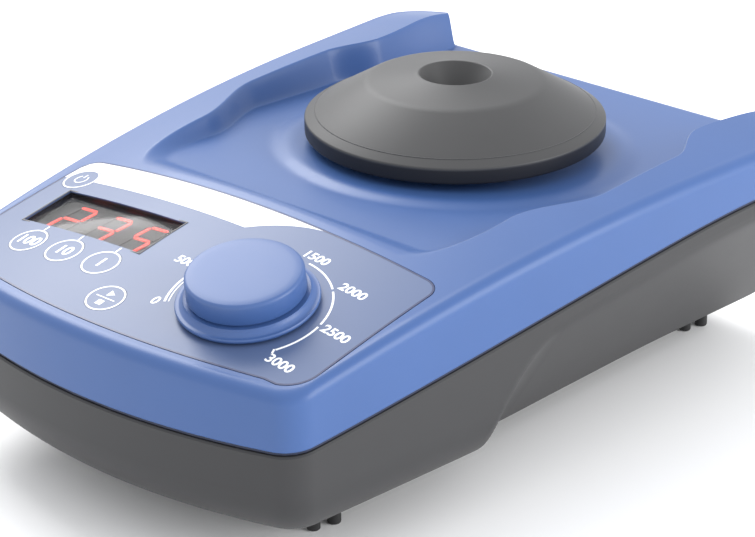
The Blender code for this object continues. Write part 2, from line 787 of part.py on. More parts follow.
def make_film():
    """Printed film that lies in the panel's recess."""
    film = add_object("front_panel_film", panel_sheet(0.0, 0.0, -FILM_THICKNESS), PANEL_PRINT)
    for tool in panel_holes("film"):
        boolean(film, tool)
    return film


def make_window():
    """Smoked window of the display, set a little below the film."""
    gap = 2 * CLEARANCE
    lens = box(WINDOW_WIDTH - gap, WINDOW_HEIGHT - gap, WINDOW_THICKNESS)
    depth = WINDOW_DEPTH + WINDOW_THICKNESS / 2
    frame = surface_frame(WINDOW_CENTRE_X, WINDOW_CENTRE_Y, depth)
    return add_object("display_window", lens, SMOKED_GLASS, frame, smooth=False)


def segment_bars(height, width, bar):
    """Bars of one seven-segment figure as (centre x, centre y, size x, size y)."""
    half = height / 2
    side = width / 2
    bars = [(0, y, width - bar, bar) for y in (-half, 0, half)]
    for x in (-side, side):
        for y in (-half / 2, half / 2):
            bars.append((x, y, bar, half - bar))
    return bars


def make_display():
    """Display block below the window, and the plate with its lit figures."""
    plate = 0.5 * WINDOW_THICKNESS
    bar_height = plate
    top = WINDOW_DEPTH + WINDOW_THICKNESS + 2 * CLEARANCE + bar_height
    frame = surface_frame(WINDOW_CENTRE_X, WINDOW_CENTRE_Y, top)
    width = WINDOW_WIDTH - 6 * CLEARANCE
    depth = WINDOW_HEIGHT - 6 * CLEARANCE
    shape = box(width, depth, plate, (0, 0, -plate / 2))
    digits = add_object("display_digits", shape, RED_LIGHT, frame, smooth=False)
    figure_height = WINDOW_HEIGHT * 0.62
    figure_width = figure_height * 0.5
    bar = figure_height * 0.13
    bars = bmesh.new()
    for index in range(3):
        x = (index - 1) * WINDOW_WIDTH * 0.31
        for bx, by, sx, sy in segment_bars(figure_height, figure_width, bar):
            centre = (x + bx + by * 0.16, by, 0)
            scale = Matrix.Diagonal((sx, sy, bar_height * 1.6, 1))
            bmesh.ops.create_cube(bars, size=1, matrix=Matrix.Translation(centre) @ scale)
    tool = add_object("figure_bars", bars, RED_LIGHT, frame, smooth=False)
    boolean(digits, tool, "UNION")
    drop = top + plate + CLEARANCE
    frame = surface_frame(WINDOW_CENTRE_X, WINDOW_CENTRE_Y, drop)
    height = BOARD_DROP * 0.36
    module = box(width, depth, height, (0, 0, -height / 2))
    add_object("display_module", module, DARK_PLASTIC, frame, smooth=False)


def make_control_board():
    """Circuit board below the panel, square to the panel's middle."""
    size = (2 * BOARD_HALF_WIDTH, BOARD_REAR - BOARD_FRONT, BOARD_THICKNESS)
    shape = box(*size, (0, 0, -BOARD_THICKNESS / 2))
    return add_object("control_board", shape, BOARD_GREEN, board_frame(), smooth=False)


def board_point(x, y):
    """Height of the board's top face straight below a panel point."""
    frame = board_frame()
    normal = frame.to_3x3().col[2]
    origin = frame.translation
    return origin.z - (normal.x * (x - origin.x) + normal.y * (y - origin.y)) / normal.z


def make_keys():
    """Five keys with their stems, and the switches below them."""
    board = board_frame()
    for name, (x, y) in KEY_PLACES.items():
        frame = surface_frame(x, y)
        local = frame.inverted() @ Vector((x, y, board_point(x, y)))
        switch_top = local.z + CLEARANCE + SWITCH_HEIGHT
        stem_end = switch_top + KEY_TRAVEL + CLEARANCE
        flange_top = -WALL - 2 * CLEARANCE
        flange_low = flange_top - KEY_FLANGE
        profile = [
            (0, 0),
            (KEY_RADIUS, 0),
            (KEY_RADIUS, flange_top),
            (KEY_RADIUS + KEY_FLANGE, flange_top),
            (KEY_RADIUS + KEY_FLANGE, flange_low),
            (KEY_STEM_RADIUS, flange_low),
            (KEY_STEM_RADIUS, stem_end),
            (0, stem_end),
        ]
        add_object(name, turned(profile, 20), KEY_PRINT, frame)
        base = box(SWITCH_SIZE, SWITCH_SIZE, SWITCH_HEIGHT * 0.7)
        local = board.inverted() @ Vector((x, y, board_point(x, y)))
        place = board @ Matrix.Translation((local.x, local.y, CLEARANCE))
        base = move(base, 0, 0, SWITCH_HEIGHT * 0.35)
        switch = add_object(name.replace("_key", "_switch"), base, DARK_PLASTIC, place, smooth=False)
        plunger = rod(KEY_STEM_RADIUS, SWITCH_HEIGHT * 0.5, SWITCH_HEIGHT, 12)
        tool = add_object(name + "_plunger", plunger, DARK_PLASTIC, place)
        boolean(switch, tool, "UNION")


def make_knob():
    """Turning knob, its shaft and the encoder on the control board."""
    frame = surface_frame(KNOB_X, KNOB_Y)
    groove = KNOB_RADIUS - KNOB_GROOVE_DEPTH
    round_edge = KNOB_GROOVE_DEPTH
    lip = KNOB_GROOVE_HEIGHT
    profile = [(KNOB_SHAFT_RADIUS + CLEARANCE, CLEARANCE), (KNOB_SKIRT_RADIUS, CLEARANCE)]
    profile.append((KNOB_SKIRT_RADIUS, 3 * CLEARANCE))
    flare = KNOB_SKIRT_RADIUS - KNOB_RADIUS
    for step in range(1, 5):
        share = step / 4
        radius = KNOB_SKIRT_RADIUS - flare * math.sin(share * math.pi / 2)
        height = 3 * CLEARANCE + (lip - 4 * CLEARANCE) * (1 - math.cos(share * math.pi / 2))
        profile.append((radius, height))
    profile += [(groove, lip), (groove, lip + CLEARANCE), (KNOB_RADIUS, lip + 2 * CLEARANCE)]
    for step in range(4):
        angle = math.pi / 2 * step / 3
        radius = KNOB_RADIUS - round_edge * (1 - math.cos(angle))
        profile.append((radius, KNOB_HEIGHT - round_edge * (1 - math.sin(angle))))
    bore_top = KNOB_HEIGHT - 2 * KNOB_GROOVE_DEPTH
    profile += [(0, KNOB_HEIGHT + CLEARANCE), (0, bore_top)]
    profile.append((KNOB_SHAFT_RADIUS + CLEARANCE, bore_top))
    add_object("speed_knob", turned(profile, 36), KNOB_PLASTIC, frame)

    board = board_frame()
    local = frame.inverted() @ Vector((KNOB_X, KNOB_Y, board_point(KNOB_X, KNOB_Y)))
    bottom = local.z + CLEARANCE + ENCODER_HEIGHT
    shaft = rod(KNOB_SHAFT_RADIUS, bottom + CLEARANCE, bore_top - CLEARANCE, 24)
    add_object("knob_shaft", shaft, STEEL, frame)
    local = board.inverted() @ Vector((KNOB_X, KNOB_Y, board_point(KNOB_X, KNOB_Y)))
    place = board @ Matrix.Translation((local.x, local.y, CLEARANCE))
    low = ENCODER_HEIGHT * 0.9
    body = box(ENCODER_SIZE, ENCODER_SIZE, low, (0, 0, low / 2))
    add_object("encoder_body", body, ALUMINIUM, place, smooth=False)


def make_motor():
    """Motor mount with its hub and crank posts, stator, rotor and bearings."""
    foot = FLOOR + CLEARANCE
    plate = MOUNT_TOP - 1.2 * WALL
    bore = BEARING_RADIUS + CLEARANCE
    profile = [
        (MOUNT_RADIUS - WALL, foot),
        (MOUNT_FLANGE_RADIUS, foot),
        (MOUNT_FLANGE_RADIUS, foot + WALL),
        (MOUNT_RADIUS, foot + WALL),
        (MOUNT_RADIUS, MOUNT_TOP),
        (HUB_RADIUS, MOUNT_TOP),
        (HUB_RADIUS, HUB_TOP),
        (bore, HUB_TOP),
        (bore, plate + WALL / 2),
        (SHAFT_RADIUS + 4 * CLEARANCE, plate + WALL / 2),
        (SHAFT_RADIUS + 4 * CLEARANCE, plate),
        (MOUNT_RADIUS - WALL, plate),
    ]
    centre = Matrix.Translation((0, SHAFT_Y, 0))
    mount = add_object("motor_mount", turned(profile, 36), ALUMINIUM, centre)
    crank_low = WEIGHT_BOTTOM - CLEARANCE
    for name, x, y in crank_places():
        post = rod(CRANK_RADIUS * 0.8, MOUNT_TOP - WALL / 2, crank_low, 20)
        place = Matrix.Translation((x, y, 0))
        boolean(mount, add_object(name + "_post", post, ALUMINIUM, place), "UNION")
        hole = rod(CRANK_PIN_RADIUS + CLEARANCE, MOUNT_TOP + WALL, crank_low + OVERRUN, 16)
        boolean(mount, add_object(name + "_socket", hole, ALUMINIUM, place))

    bearing_low = plate + WALL / 2 + CLEARANCE
    for name, bottom in (
        ("lower_bearing", bearing_low),
        ("upper_bearing", HUB_TOP - CLEARANCE - BEARING_WIDTH),
    ):
        ring = tube(SHAFT_RADIUS + CLEARANCE, BEARING_RADIUS, bottom, bottom + BEARING_WIDTH)
        add_object(name, ring, STEEL, centre)

    motor_low = foot + 2 * CLEARANCE + WALL / 2
    motor_top = motor_low + MOTOR_LENGTH
    stator = tube(ROTOR_RADIUS, MOTOR_RADIUS, motor_low, motor_top, 40)
    add_object("motor_stator", stator, STEEL, centre)
    rotor = tube(SHAFT_RADIUS + CLEARANCE, ROTOR_RADIUS - 2 * CLEARANCE, motor_low, motor_top, 36)
    add_object("motor_rotor", rotor, STEEL, centre)
    shaft = add_object("eccentric_shaft", rod(SHAFT_RADIUS, foot, WEIGHT_TOP, 24), STEEL, centre)
    pin = rod(PIN_RADIUS, WEIGHT_BOTTOM, DRIVE_TOP, 24)
    tool = add_object("eccentric_pin", pin, STEEL, Matrix.Translation((0, TABLE_CENTRE_Y, 0)))
    boolean(shaft, tool, "UNION")


def crank_places():
    """Name and axis of each idler crank round the main shaft."""
    places = []
    for index in range(CRANK_COUNT):
        angle = math.pi / 2 + 2 * math.pi * (index + 0.5) / CRANK_COUNT
        x = CRANK_CIRCLE * math.cos(angle)
        places.append((f"idler_crank_{index + 1}", x, SHAFT_Y + CRANK_CIRCLE * math.sin(angle)))
    return places


def make_cranks():
    """Idler cranks that keep the table from turning."""
    for name, x, y in crank_places():
        place = Matrix.Translation((x, y, 0))
        bottom = WEIGHT_BOTTOM
        top = bottom + CRANK_THICKNESS
        crank = add_object(name, rod(CRANK_RADIUS, bottom, top, 24), STEEL, place)
        journal = rod(CRANK_PIN_RADIUS, MOUNT_TOP + WALL + CLEARANCE, bottom + CRANK_THICKNESS / 2, 16)
        boolean(crank, add_object(name + "_journal", journal, STEEL, place), "UNION")
        pin = rod(CRANK_PIN_RADIUS, bottom + CRANK_THICKNESS / 2, DRIVE_TOP - CLEARANCE, 16)
        offset = Matrix.Translation((x, y + ECCENTRICITY, 0))
        boolean(crank, add_object(name + "_pin", pin, STEEL, offset), "UNION")


def make_counterweight():
    """Half-moon balance weight clamped on the shaft, opposite the pin."""
    hub = SHAFT_RADIUS + 2 * CLEARANCE + WALL / 2
    points = []
    steps = 20
    for step in range(steps + 1):
        angle = math.pi + math.pi * step / steps
        points.append((WEIGHT_RADIUS * math.cos(angle), WEIGHT_RADIUS * math.sin(angle)))
    for step in range(9):
        angle = math.pi * step / 8
        points.append((hub * math.cos(angle), hub * math.sin(angle)))
    shape = extruded(points, WEIGHT_BOTTOM, WEIGHT_TOP - CLEARANCE)
    centre = Matrix.Translation((0, SHAFT_Y, 0))
    weight = add_object("counterweight", shape, BRASS, centre)
    reach = ECCENTRICITY + PIN_RADIUS
    bore = rod(reach + CLEARANCE, WEIGHT_BOTTOM - OVERRUN, WEIGHT_TOP + OVERRUN, 24)
    boolean(weight, add_object("weight_bore", bore, BRASS, centre))
    return weight


def make_table():
    """Drive plate with its bearing, and the table above the tray."""
    place = Matrix.Translation((0, TABLE_CENTRE_Y, 0))
    bearing = tube(PIN_RADIUS + CLEARANCE, SMALL_BEARING_RADIUS, DRIVE_BOTTOM, DRIVE_TOP - CLEARANCE)
    add_object("eccentric_bearing", bearing, STEEL, place)
    bore = SMALL_BEARING_RADIUS + CLEARANCE
    plate = tube(bore, DRIVE_PLATE_RADIUS, DRIVE_BOTTOM, DRIVE_TOP, 40)
    drive = add_object("drive_plate", plate, ALUMINIUM, place)
    for name, x, y in crank_places():
        hole = rod(CRANK_PIN_RADIUS + CLEARANCE, DRIVE_BOTTOM - OVERRUN, DRIVE_TOP + OVERRUN, 16)
        offset = Matrix.Translation((x, y + ECCENTRICITY, 0))
        boolean(drive, add_object(name + "_hole", hole, ALUMINIUM, offset))
    table_low = DISC_BOTTOM - TABLE_GAP
    table_top = table_low + TABLE_THICKNESS
    edge = CLEARANCE * 2
    profile = [
        (0, DRIVE_TOP + CLEARANCE),
        (NECK_RADIUS, DRIVE_TOP + CLEARANCE),
        (NECK_RADIUS, table_low),
        (TABLE_RADIUS - edge, table_low),
        (TABLE_RADIUS, table_low + edge),
        (TABLE_RADIUS, table_top - edge),
        (TABLE_RADIUS - edge, table_top),
        (0, table_top),
    ]
    add_object("shaking_table", turned(profile, 40), ALUMINIUM, place)


def make_attachment():
    """Hard base ring that pushes on the table, and the rubber cone over it."""
    place = Matrix.Translation((0, TABLE_CENTRE_Y, 0))
    table_top = DISC_BOTTOM - TABLE_GAP + TABLE_THICKNESS
    inner = TABLE_RADIUS + CLEARANCE
    outer = DISC_RADIUS - CAP_WALL - CLEARANCE
    ceiling = table_top + CLEARANCE
    base_top = ceiling + WALL
    low = DISC_BOTTOM + CLEARANCE
    profile = [(0, ceiling), (inner, ceiling), (inner, low), (outer, low), (outer, base_top), (0, base_top)]
    add_object("attachment_base", turned(profile, 40), DARK_PLASTIC, place)
    lip = CLEARANCE * 2
    cap = [
        (outer + CLEARANCE, DISC_BOTTOM),
        (DISC_RADIUS - lip, DISC_BOTTOM),
        (DISC_RADIUS, DISC_BOTTOM + lip),
        (DISC_RADIUS, DISC_RIM_TOP - lip),
        (DISC_RADIUS - lip, DISC_RIM_TOP),
        (CONE_TOP_RADIUS + lip, CONE_TOP - lip / 2),
        (CONE_TOP_RADIUS - lip, CONE_TOP + CLEARANCE / 2),
        (CUP_RADIUS + lip, CUP_TOP),
        (CUP_RADIUS, CUP_TOP - CLEARANCE),
        (CUP_FLOOR_RADIUS, CUP_TOP - CUP_DEPTH + lip),
        (CUP_FLOOR_RADIUS - lip, CUP_TOP - CUP_DEPTH),
        (0, CUP_TOP - CUP_DEPTH),
        (0, base_top + CLEARANCE),
        (outer + CLEARANCE, base_top + CLEARANCE),
    ]
    add_object("attachment_cap", turned(cap, 52), GREY_RUBBER, place)


def make_feet():
    """Four rubber feet, each a disc with a ring of studs."""
    top = BASE_HEIGHT - CLEARANCE
    for name, x, y in (
        ("foot_front_left", -FOOT_X, FOOT_FRONT_Y),
        ("foot_front_right", FOOT_X, FOOT_FRONT_Y),
        ("foot_rear_left", -FOOT_X, FOOT_REAR_Y),
        ("foot_rear_right", FOOT_X, FOOT_REAR_Y),
    ):
        place = Matrix.Translation((x, y, 0))
        disc = rod(FOOT_RADIUS, top - FOOT_DISC, top, 28)
        foot = add_object(name, disc, BLACK_RUBBER, place, crease=STUD_CREASE_DEG)
        ring = FOOT_RADIUS - STUD_RADIUS - CLEARANCE
        for index in range(STUD_COUNT):
            angle = 2 * math.pi * (index + 0.25) / STUD_COUNT
            stud = rod(STUD_RADIUS, 0, top - FOOT_DISC / 2, 8)
            stud = move(stud, ring * math.cos(angle), ring * math.sin(angle))
            tool = add_object(f"{name}_stud_{index}", stud, BLACK_RUBBER, place)
            boolean(foot, tool, "UNION")


def make_screws():
    """Four housing screws that come up through the lower shell."""
    for name, (x, y) in screw_places().items():
        place = Matrix.Translation((x, y, 0))
        seat = FLOOR - CLEARANCE
        head = SCREW_RADIUS * 1.1
        top = seam_height(y) - BOSS_BELOW_SEAM + head * 2
        socket = SCREW_HEAD_RADIUS / 2
        profile = [
            (0, seat - head / 2),
            (socket, seat - head / 2),
            (socket, seat - head),
            (SCREW_HEAD_RADIUS, seat - head),
            (SCREW_HEAD_RADIUS, seat),
            (SCREW_RADIUS, seat),
            (SCREW_RADIUS, top),
            (0, top),
        ]
        add_object(name, turned(profile, 12), STEEL, place)


def make_power_parts():
    """Direct-current inlet in the rear wall, main board, capacitor and ribbon."""
    depth = REAR_Y - INLET_LENGTH / 2 - CLEARANCE
    place = Matrix.Translation((INLET_X, depth, INLET_Z))
    inlet = add_object("dc_inlet", box(INLET_SIZE, INLET_LENGTH, INLET_SIZE), DARK_PLASTIC, place, smooth=False)
    turn = Matrix.Rotation(math.pi / 2, 4, "X")
    bore = tube(INLET_PIN, INLET_BORE, -INLET_LENGTH, INLET_LENGTH * 0.35, 20)
    tool = add_object("inlet_bore", bore, DARK_PLASTIC, place @ turn)
    boolean(inlet, tool)

    board_y = (MAIN_BOARD_FRONT + MAIN_BOARD_REAR) / 2
    place = Matrix.Translation((0, board_y, FLOOR + CLEARANCE + BOARD_THICKNESS / 2))
    shape = box(2 * MAIN_BOARD_HALF, MAIN_BOARD_REAR - MAIN_BOARD_FRONT, BOARD_THICKNESS)
    add_object("main_board", shape, BOARD_GREEN, place, smooth=False)
    low = FLOOR + 2 * CLEARANCE + BOARD_THICKNESS
    place = Matrix.Translation((-2 * CAPACITOR_RADIUS, board_y, low))
    can = rod(CAPACITOR_RADIUS, 0, CAPACITOR_HEIGHT, 20)
    add_object("smoothing_capacitor", can, DARK_PLASTIC, place)


def make_ribbon():
    """Flat ribbon cable from the control board back to the main board."""
    low = FLOOR + 2 * CLEARANCE + BOARD_THICKNESS
    top = board_point(RIBBON_X, RIBBON_DROP_Y) - BOARD_THICKNESS - 2 * CLEARANCE
    bend = RIBBON_THICKNESS * 4
    path = [
        (RIBBON_DROP_Y, top),
        (RIBBON_DROP_Y, RIBBON_HEIGHT + bend),
        (RIBBON_DROP_Y + bend / 3, RIBBON_HEIGHT + bend / 3),
        (RIBBON_DROP_Y + bend, RIBBON_HEIGHT),
        (MAIN_BOARD_FRONT - bend, RIBBON_HEIGHT),
        (MAIN_BOARD_FRONT + bend, low),
        (MAIN_BOARD_FRONT + 3 * bend, low),
    ]
    shape = bmesh.new()
    rings = []
    for index, (y, z) in enumerate(path):
        before = path[max(0, index - 1)]
        after = path[min(len(path) - 1, index + 1)]
        run = Vector((after[0] - before[0], after[1] - before[1])).normalized() * RIBBON_THICKNESS
        corners = [(y, z), (y - run.y, z + run.x)]
        ring = []
        for x in (RIBBON_X - RIBBON_WIDTH / 2, RIBBON_X + RIBBON_WIDTH / 2):
            ring += [shape.verts.new((x, *corner)) for corner in corners]
            corners.reverse()
        rings.append(ring)
    for near, far in zip(rings, rings[1:]):
        join_chains(shape, near, far)
    shape.faces.new(rings[0])
    shape.faces.new(rings[-1])
    add_object("ribbon_cable", shape, SEAL_RUBBER, smooth=False)


def make_all():
    """Build every piece of the shaker."""
    make_upper_housing()
    make_lower_housing()
    make_gasket()
    make_film()
    make_window()
    make_display()
    make_control_board()
    make_keys()
    make_knob()
    make_motor()
    make_cranks()
    make_counterweight()
    make_table()
    make_attachment()
    make_feet()
    make_screws()
    make_power_parts()
    make_ribbon()


make_all()
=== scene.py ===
"""Studio view of a compact orbital laboratory shaker, dressed over its packed construction."""

import json
import math

import bmesh
import bpy
from mathutils import Matrix, Vector


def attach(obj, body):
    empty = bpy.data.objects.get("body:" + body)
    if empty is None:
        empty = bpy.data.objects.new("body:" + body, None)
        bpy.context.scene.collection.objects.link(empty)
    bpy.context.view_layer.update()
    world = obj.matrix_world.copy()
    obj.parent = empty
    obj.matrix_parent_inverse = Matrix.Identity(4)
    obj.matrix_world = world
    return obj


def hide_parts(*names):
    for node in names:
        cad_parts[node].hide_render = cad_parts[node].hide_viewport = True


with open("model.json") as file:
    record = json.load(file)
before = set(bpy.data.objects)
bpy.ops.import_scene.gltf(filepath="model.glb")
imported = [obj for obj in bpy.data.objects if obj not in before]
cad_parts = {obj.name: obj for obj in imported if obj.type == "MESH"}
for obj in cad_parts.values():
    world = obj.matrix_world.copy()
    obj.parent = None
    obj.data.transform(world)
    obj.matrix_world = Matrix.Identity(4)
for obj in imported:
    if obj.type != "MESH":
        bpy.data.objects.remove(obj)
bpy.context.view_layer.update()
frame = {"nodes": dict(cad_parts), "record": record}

# Lower shell.
# Pressure-cast and coated dark grey. It tapers to the front, its belly is rounded, and
# each side is cut back by a slanted face behind the front block.
BODY_DEPTH = 0.205
FRONT_Y = -BODY_DEPTH / 2
REAR_Y = BODY_DEPTH / 2
FRONT_HALF_WIDTH = 0.0610
REAR_HALF_WIDTH = 0.0770
MEAN_HALF_WIDTH = (FRONT_HALF_WIDTH + REAR_HALF_WIDTH) / 2
SIDE_SWELL = 0.0008
FRONT_RADIUS = 0.185
FRONT_CORNER = 0.0085
REAR_CORNER = 0.0100
SEAM_FRONT = 0.0358
SEAM_REAR = 0.0550
SEAM_MIDDLE = 0.0482
SEAM_SLOPE = 0.1255
SEAM_BLEND = 0.0030
SEAM_GAP = 0.0009
BASE_HEIGHT = 0.0100
BELLY_HEIGHT = 0.0160
BELLY_INSET = 0.0200
REAR_BELLY_SHARE = 0.15
UNDERCUT_BAND = 0.0059
UNDERCUT_START = -0.0365
UNDERCUT_FULL = -0.0060
UNDERCUT_POWER = 1.9
UNDERCUT_SLOPE = 0.61
SHELL_WALL = 0.0022
RIM_ROUND = 0.0004
UNDERCUT_REACH = 0.0015
UNDERCUT_BLEND = 0.0007
BELLY_CLEARANCE = 0.001
LIP_WIDTH = 0.003
LIP_DROP = 0.006
MERGE_GAP = 0.000001
FRONT_SPREAD = 0.8
BASE_COLUMNS = 24
BELLY_STEPS = 26
RISE_STEPS = 26
BAND_STEPS = 8
FRONT_ROWS = 34
CORNER_ROWS = 10
SIDE_STOPS = ((0, -0.0872), (26, -0.0450), (94, -0.0050), (178, REAR_Y - REAR_CORNER))
SIDE_ROWS = SIDE_STOPS[-1][0]
PLAN_ROWS = FRONT_ROWS + CORNER_ROWS + SIDE_ROWS + CORNER_ROWS


class Signal:
    """One shader socket; arithmetic on it adds Math nodes to its material."""

    def __init__(self, finish, socket):
        self.finish = finish
        self.socket = socket

    def combined(self, operation, *terms):
        """Math node over numbers or signals."""
        inputs = dict(enumerate(terms))
        return self.finish.add("ShaderNodeMath", {"operation": operation}, inputs)

    def __add__(self, other):
        return self.combined("ADD", self, other)

    def __mul__(self, other):
        return self.combined("MULTIPLY", self, other)

    __rmul__ = __mul__

    def step(self, start, end):
        """Soft rise from 0 at start to 1 at end."""
        settings = {"interpolation_type": "SMOOTHSTEP"}
        return self.finish.add("ShaderNodeMapRange", settings, {0: self, 1: start, 2: end})


class Finish:
    """A surface finish built node by node round one Principled shader."""

    def __init__(self, name, constants=None):
        self.material = bpy.data.materials.new(name)
        self.material.use_nodes = True
        self.tree = self.material.node_tree
        self.shader = self.tree.nodes["Principled BSDF"]
        for socket, value in (constants or {}).items():
            self.shader.inputs[socket].default_value = value

    def add(self, kind, settings, inputs, output=0):
        """Any node: its settings first, then the values or links of its sockets."""
        node = self.tree.nodes.new(kind)
        for key, value in settings.items():
            setattr(node, key, value)
        for key, value in inputs.items():
            if isinstance(value, Signal):
                self.tree.links.new(value.socket, node.inputs[key])
            else:
                node.inputs[key].default_value = value
        return Signal(self, node.outputs[output])

    def feed(self, socket, signal):
        """Link a signal to one of the shader's sockets."""
        self.tree.links.new(signal.socket, self.shader.inputs[socket])

    def place(self, axis=None):
        """Object coordinates, whole or along one axis."""
        whole = self.add("ShaderNodeTexCoord", {}, {}, "Object")
        if axis is None:
            return whole
        return self.add("ShaderNodeSeparateXYZ", {}, {0: whole}, axis)

    def noise(self, scale, detail=3.0, stretch=(1, 1, 1)):
        """Noise on object coordinates, its scale counted per metre."""
        along = self.add("ShaderNodeMapping", {}, {"Vector": self.place(), "Scale": stretch})
        inputs = {"Vector": along, "Scale": scale, "Detail": detail}
        return self.add("ShaderNodeTexNoise", {}, inputs)

    def mixed(self, first, second, factor):
        """One colour fading into another."""
        first = first if isinstance(first, Signal) else (*first, 1.0)
        second = second if isinstance(second, Signal) else (*second, 1.0)
        inputs = {0: factor, 6: first, 7: second}
        return self.add("ShaderNodeMix", {"data_type": "RGBA"}, inputs, 2)

    def relief(self, grain, strength, height):
        """Fine surface grain as a bump."""
        inputs = {"Strength": strength, "Distance": height, "Height": grain}
        self.feed("Normal", self.add("ShaderNodeBump", {}, inputs))


def toned(colour, factor):
    """A colour made darker or lighter."""
    return tuple(channel * factor for channel in colour)


def coated(name, colour, roughness, grain=2400.0, relief=0.2, constants=None):
    """Painted or moulded surface: faint clouding, uneven gloss and a fine grain."""
    finish = Finish(name, constants)
    cloud = finish.noise(45.0)
    speck = finish.noise(grain, 2.0)
    tint = finish.mixed(toned(colour, 0.95), toned(colour, 1.05), cloud)
    tint = finish.mixed(tint, toned(colour, 1.12), speck.step(0.62, 0.8) * 0.5)
    finish.feed("Base Color", tint)
    finish.feed("Roughness", 0.06 * cloud + 0.05 * speck + (roughness - 0.055))
    finish.relief(speck, relief, 0.00003)
    return finish


def soft_min(first, second, blend):
    """Smaller of two lengths with a rounded change-over."""
    return (first + second - math.hypot(first - second, blend)) / 2


def soft_max(first, second, blend):
    """Larger of two lengths with a rounded change-over."""
    return (first + second + math.hypot(first - second, blend)) / 2


def half_width(y):
    """Half width of the housing at its seam."""
    share = (REAR_Y - y) / BODY_DEPTH
    straight = REAR_HALF_WIDTH + (FRONT_HALF_WIDTH - REAR_HALF_WIDTH) * share
    return straight + SIDE_SWELL * 4 * share * (1 - share)


def seam_height(y):
    """Height of the parting line."""
    line = SEAM_MIDDLE + SEAM_SLOPE * y
    return soft_max(soft_min(line, SEAM_REAR, SEAM_BLEND), SEAM_FRONT, SEAM_BLEND)


def front_corner():
    """Tilt and centre of the arc between the bowed front and the side."""
    low, high = FRONT_HALF_WIDTH / 2, REAR_HALF_WIDTH
    for _ in range(40):
        reach = (low + high) / 2
        tilt = math.atan2(-1, reach / FRONT_RADIUS)
        x = reach - FRONT_CORNER * math.cos(tilt)
        y = FRONT_Y + reach * reach / (2 * FRONT_RADIUS) - FRONT_CORNER * math.sin(tilt)
        if x + FRONT_CORNER > half_width(y):
            high = reach
        else:
            low = reach
    return reach, tilt, x, y


FRONT_REACH, CORNER_TILT, CORNER_X, CORNER_Y = front_corner()


def between(value, stops):
    """Straight run through (count, place) stops."""
    for (start, low), (end, high) in zip(stops, stops[1:]):
        if value <= end:
            break
    return low + (high - low) * (value - start) / (end - start)


def outline_point(row):
    """Right-hand point of the housing plan, its rows counted from the front middle."""
    if row <= FRONT_ROWS:
        x = FRONT_REACH * (row / FRONT_ROWS) ** FRONT_SPREAD
        return x, FRONT_Y + x * x / (2 * FRONT_RADIUS)
    row -= FRONT_ROWS
    if row <= CORNER_ROWS:
        angle = CORNER_TILT * (1 - row / CORNER_ROWS)
        return CORNER_X + FRONT_CORNER * math.cos(angle), CORNER_Y + FRONT_CORNER * math.sin(angle)
    row -= CORNER_ROWS
    if row <= SIDE_ROWS:
        y = between(row, ((0, CORNER_Y), *SIDE_STOPS[1:]))
        return half_width(y), y
    angle = math.pi / 2 * (row - SIDE_ROWS) / CORNER_ROWS
    x = half_width(REAR_Y - REAR_CORNER) - REAR_CORNER * (1 - math.cos(angle))
    return x, REAR_Y - REAR_CORNER * (1 - math.sin(angle))


def drawn_in(x, y, inset, rear_inset):
    """Plan point moved inwards, with its own amount at the rear."""
    share = (y - FRONT_Y) / BODY_DEPTH
    return x * (1 - inset / MEAN_HALF_WIDTH), y + inset * (1 - share) - rear_inset * share


def let_out(x, y, inset, rear_inset):
    """Plan point that drawn_in moved, back in its first place."""
    pull = (inset + rear_inset) / BODY_DEPTH
    return x / (1 - inset / MEAN_HALF_WIDTH), (y - inset - pull * FRONT_Y) / (1 - pull)


def plan_sheet(columns, inset, spread, height):
    """Grid over the plan; spread gives a column's place and height its level."""
    sheet = bmesh.new()
    bmesh.ops.create_grid(sheet, x_segments=2 * columns, y_segments=PLAN_ROWS, size=1)
    for vertex in sheet.verts:
        row = round((vertex.co.y + 1) / 2 * PLAN_ROWS)
        column = round(vertex.co.x * columns)
        reach, y = drawn_in(*outline_point(row), *inset)
        x = math.copysign(spread(abs(column), reach, y), column)
        vertex.co = (x, y, height(x, y))
    bmesh.ops.remove_doubles(sheet, verts=sheet.verts[:], dist=MERGE_GAP)
    return sheet


def open_edges(mesh):
    """Edges round an open sheet."""
    return [edge for edge in mesh.edges if edge.is_boundary]


def drawn_out(mesh, edges, place):
    """Extrude the open edge once and move each new corner where place says."""
    made = bmesh.ops.extrude_edge_only(mesh, edges=edges)["geom"]
    for part in made:
        if isinstance(part, bmesh.types.BMVert):
            part.co = place(part.co)
    return [part for part in made if isinstance(part, bmesh.types.BMEdge) and part.is_boundary]


def walled(mesh, wall):
    """Turn the faces outwards, then give the sheet its wall thickness inwards."""
    bmesh.ops.remove_doubles(mesh, verts=mesh.verts[:], dist=MERGE_GAP)
    bmesh.ops.recalc_face_normals(mesh, faces=mesh.faces[:])
    bmesh.ops.solidify(mesh, geom=mesh.faces[:], thickness=wall)


def shown(name, mesh, finish, body, replaced=(), crease=32, outwards=True):
    """Turn a bmesh into a piece that rides on a body and stands for its nodes."""
    if outwards:
        bmesh.ops.recalc_face_normals(mesh, faces=mesh.faces[:])
    data = bpy.data.meshes.new(name)
    mesh.to_mesh(data)
    mesh.free()
    data.shade_smooth()
    data.set_sharp_from_angle(angle=math.radians(crease))
    data.materials.append(finish.material)
    piece = bpy.data.objects.new(name, data)
    bpy.context.scene.collection.objects.link(piece)
    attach(piece, body)
    if replaced:
        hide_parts(*replaced)
    return piece


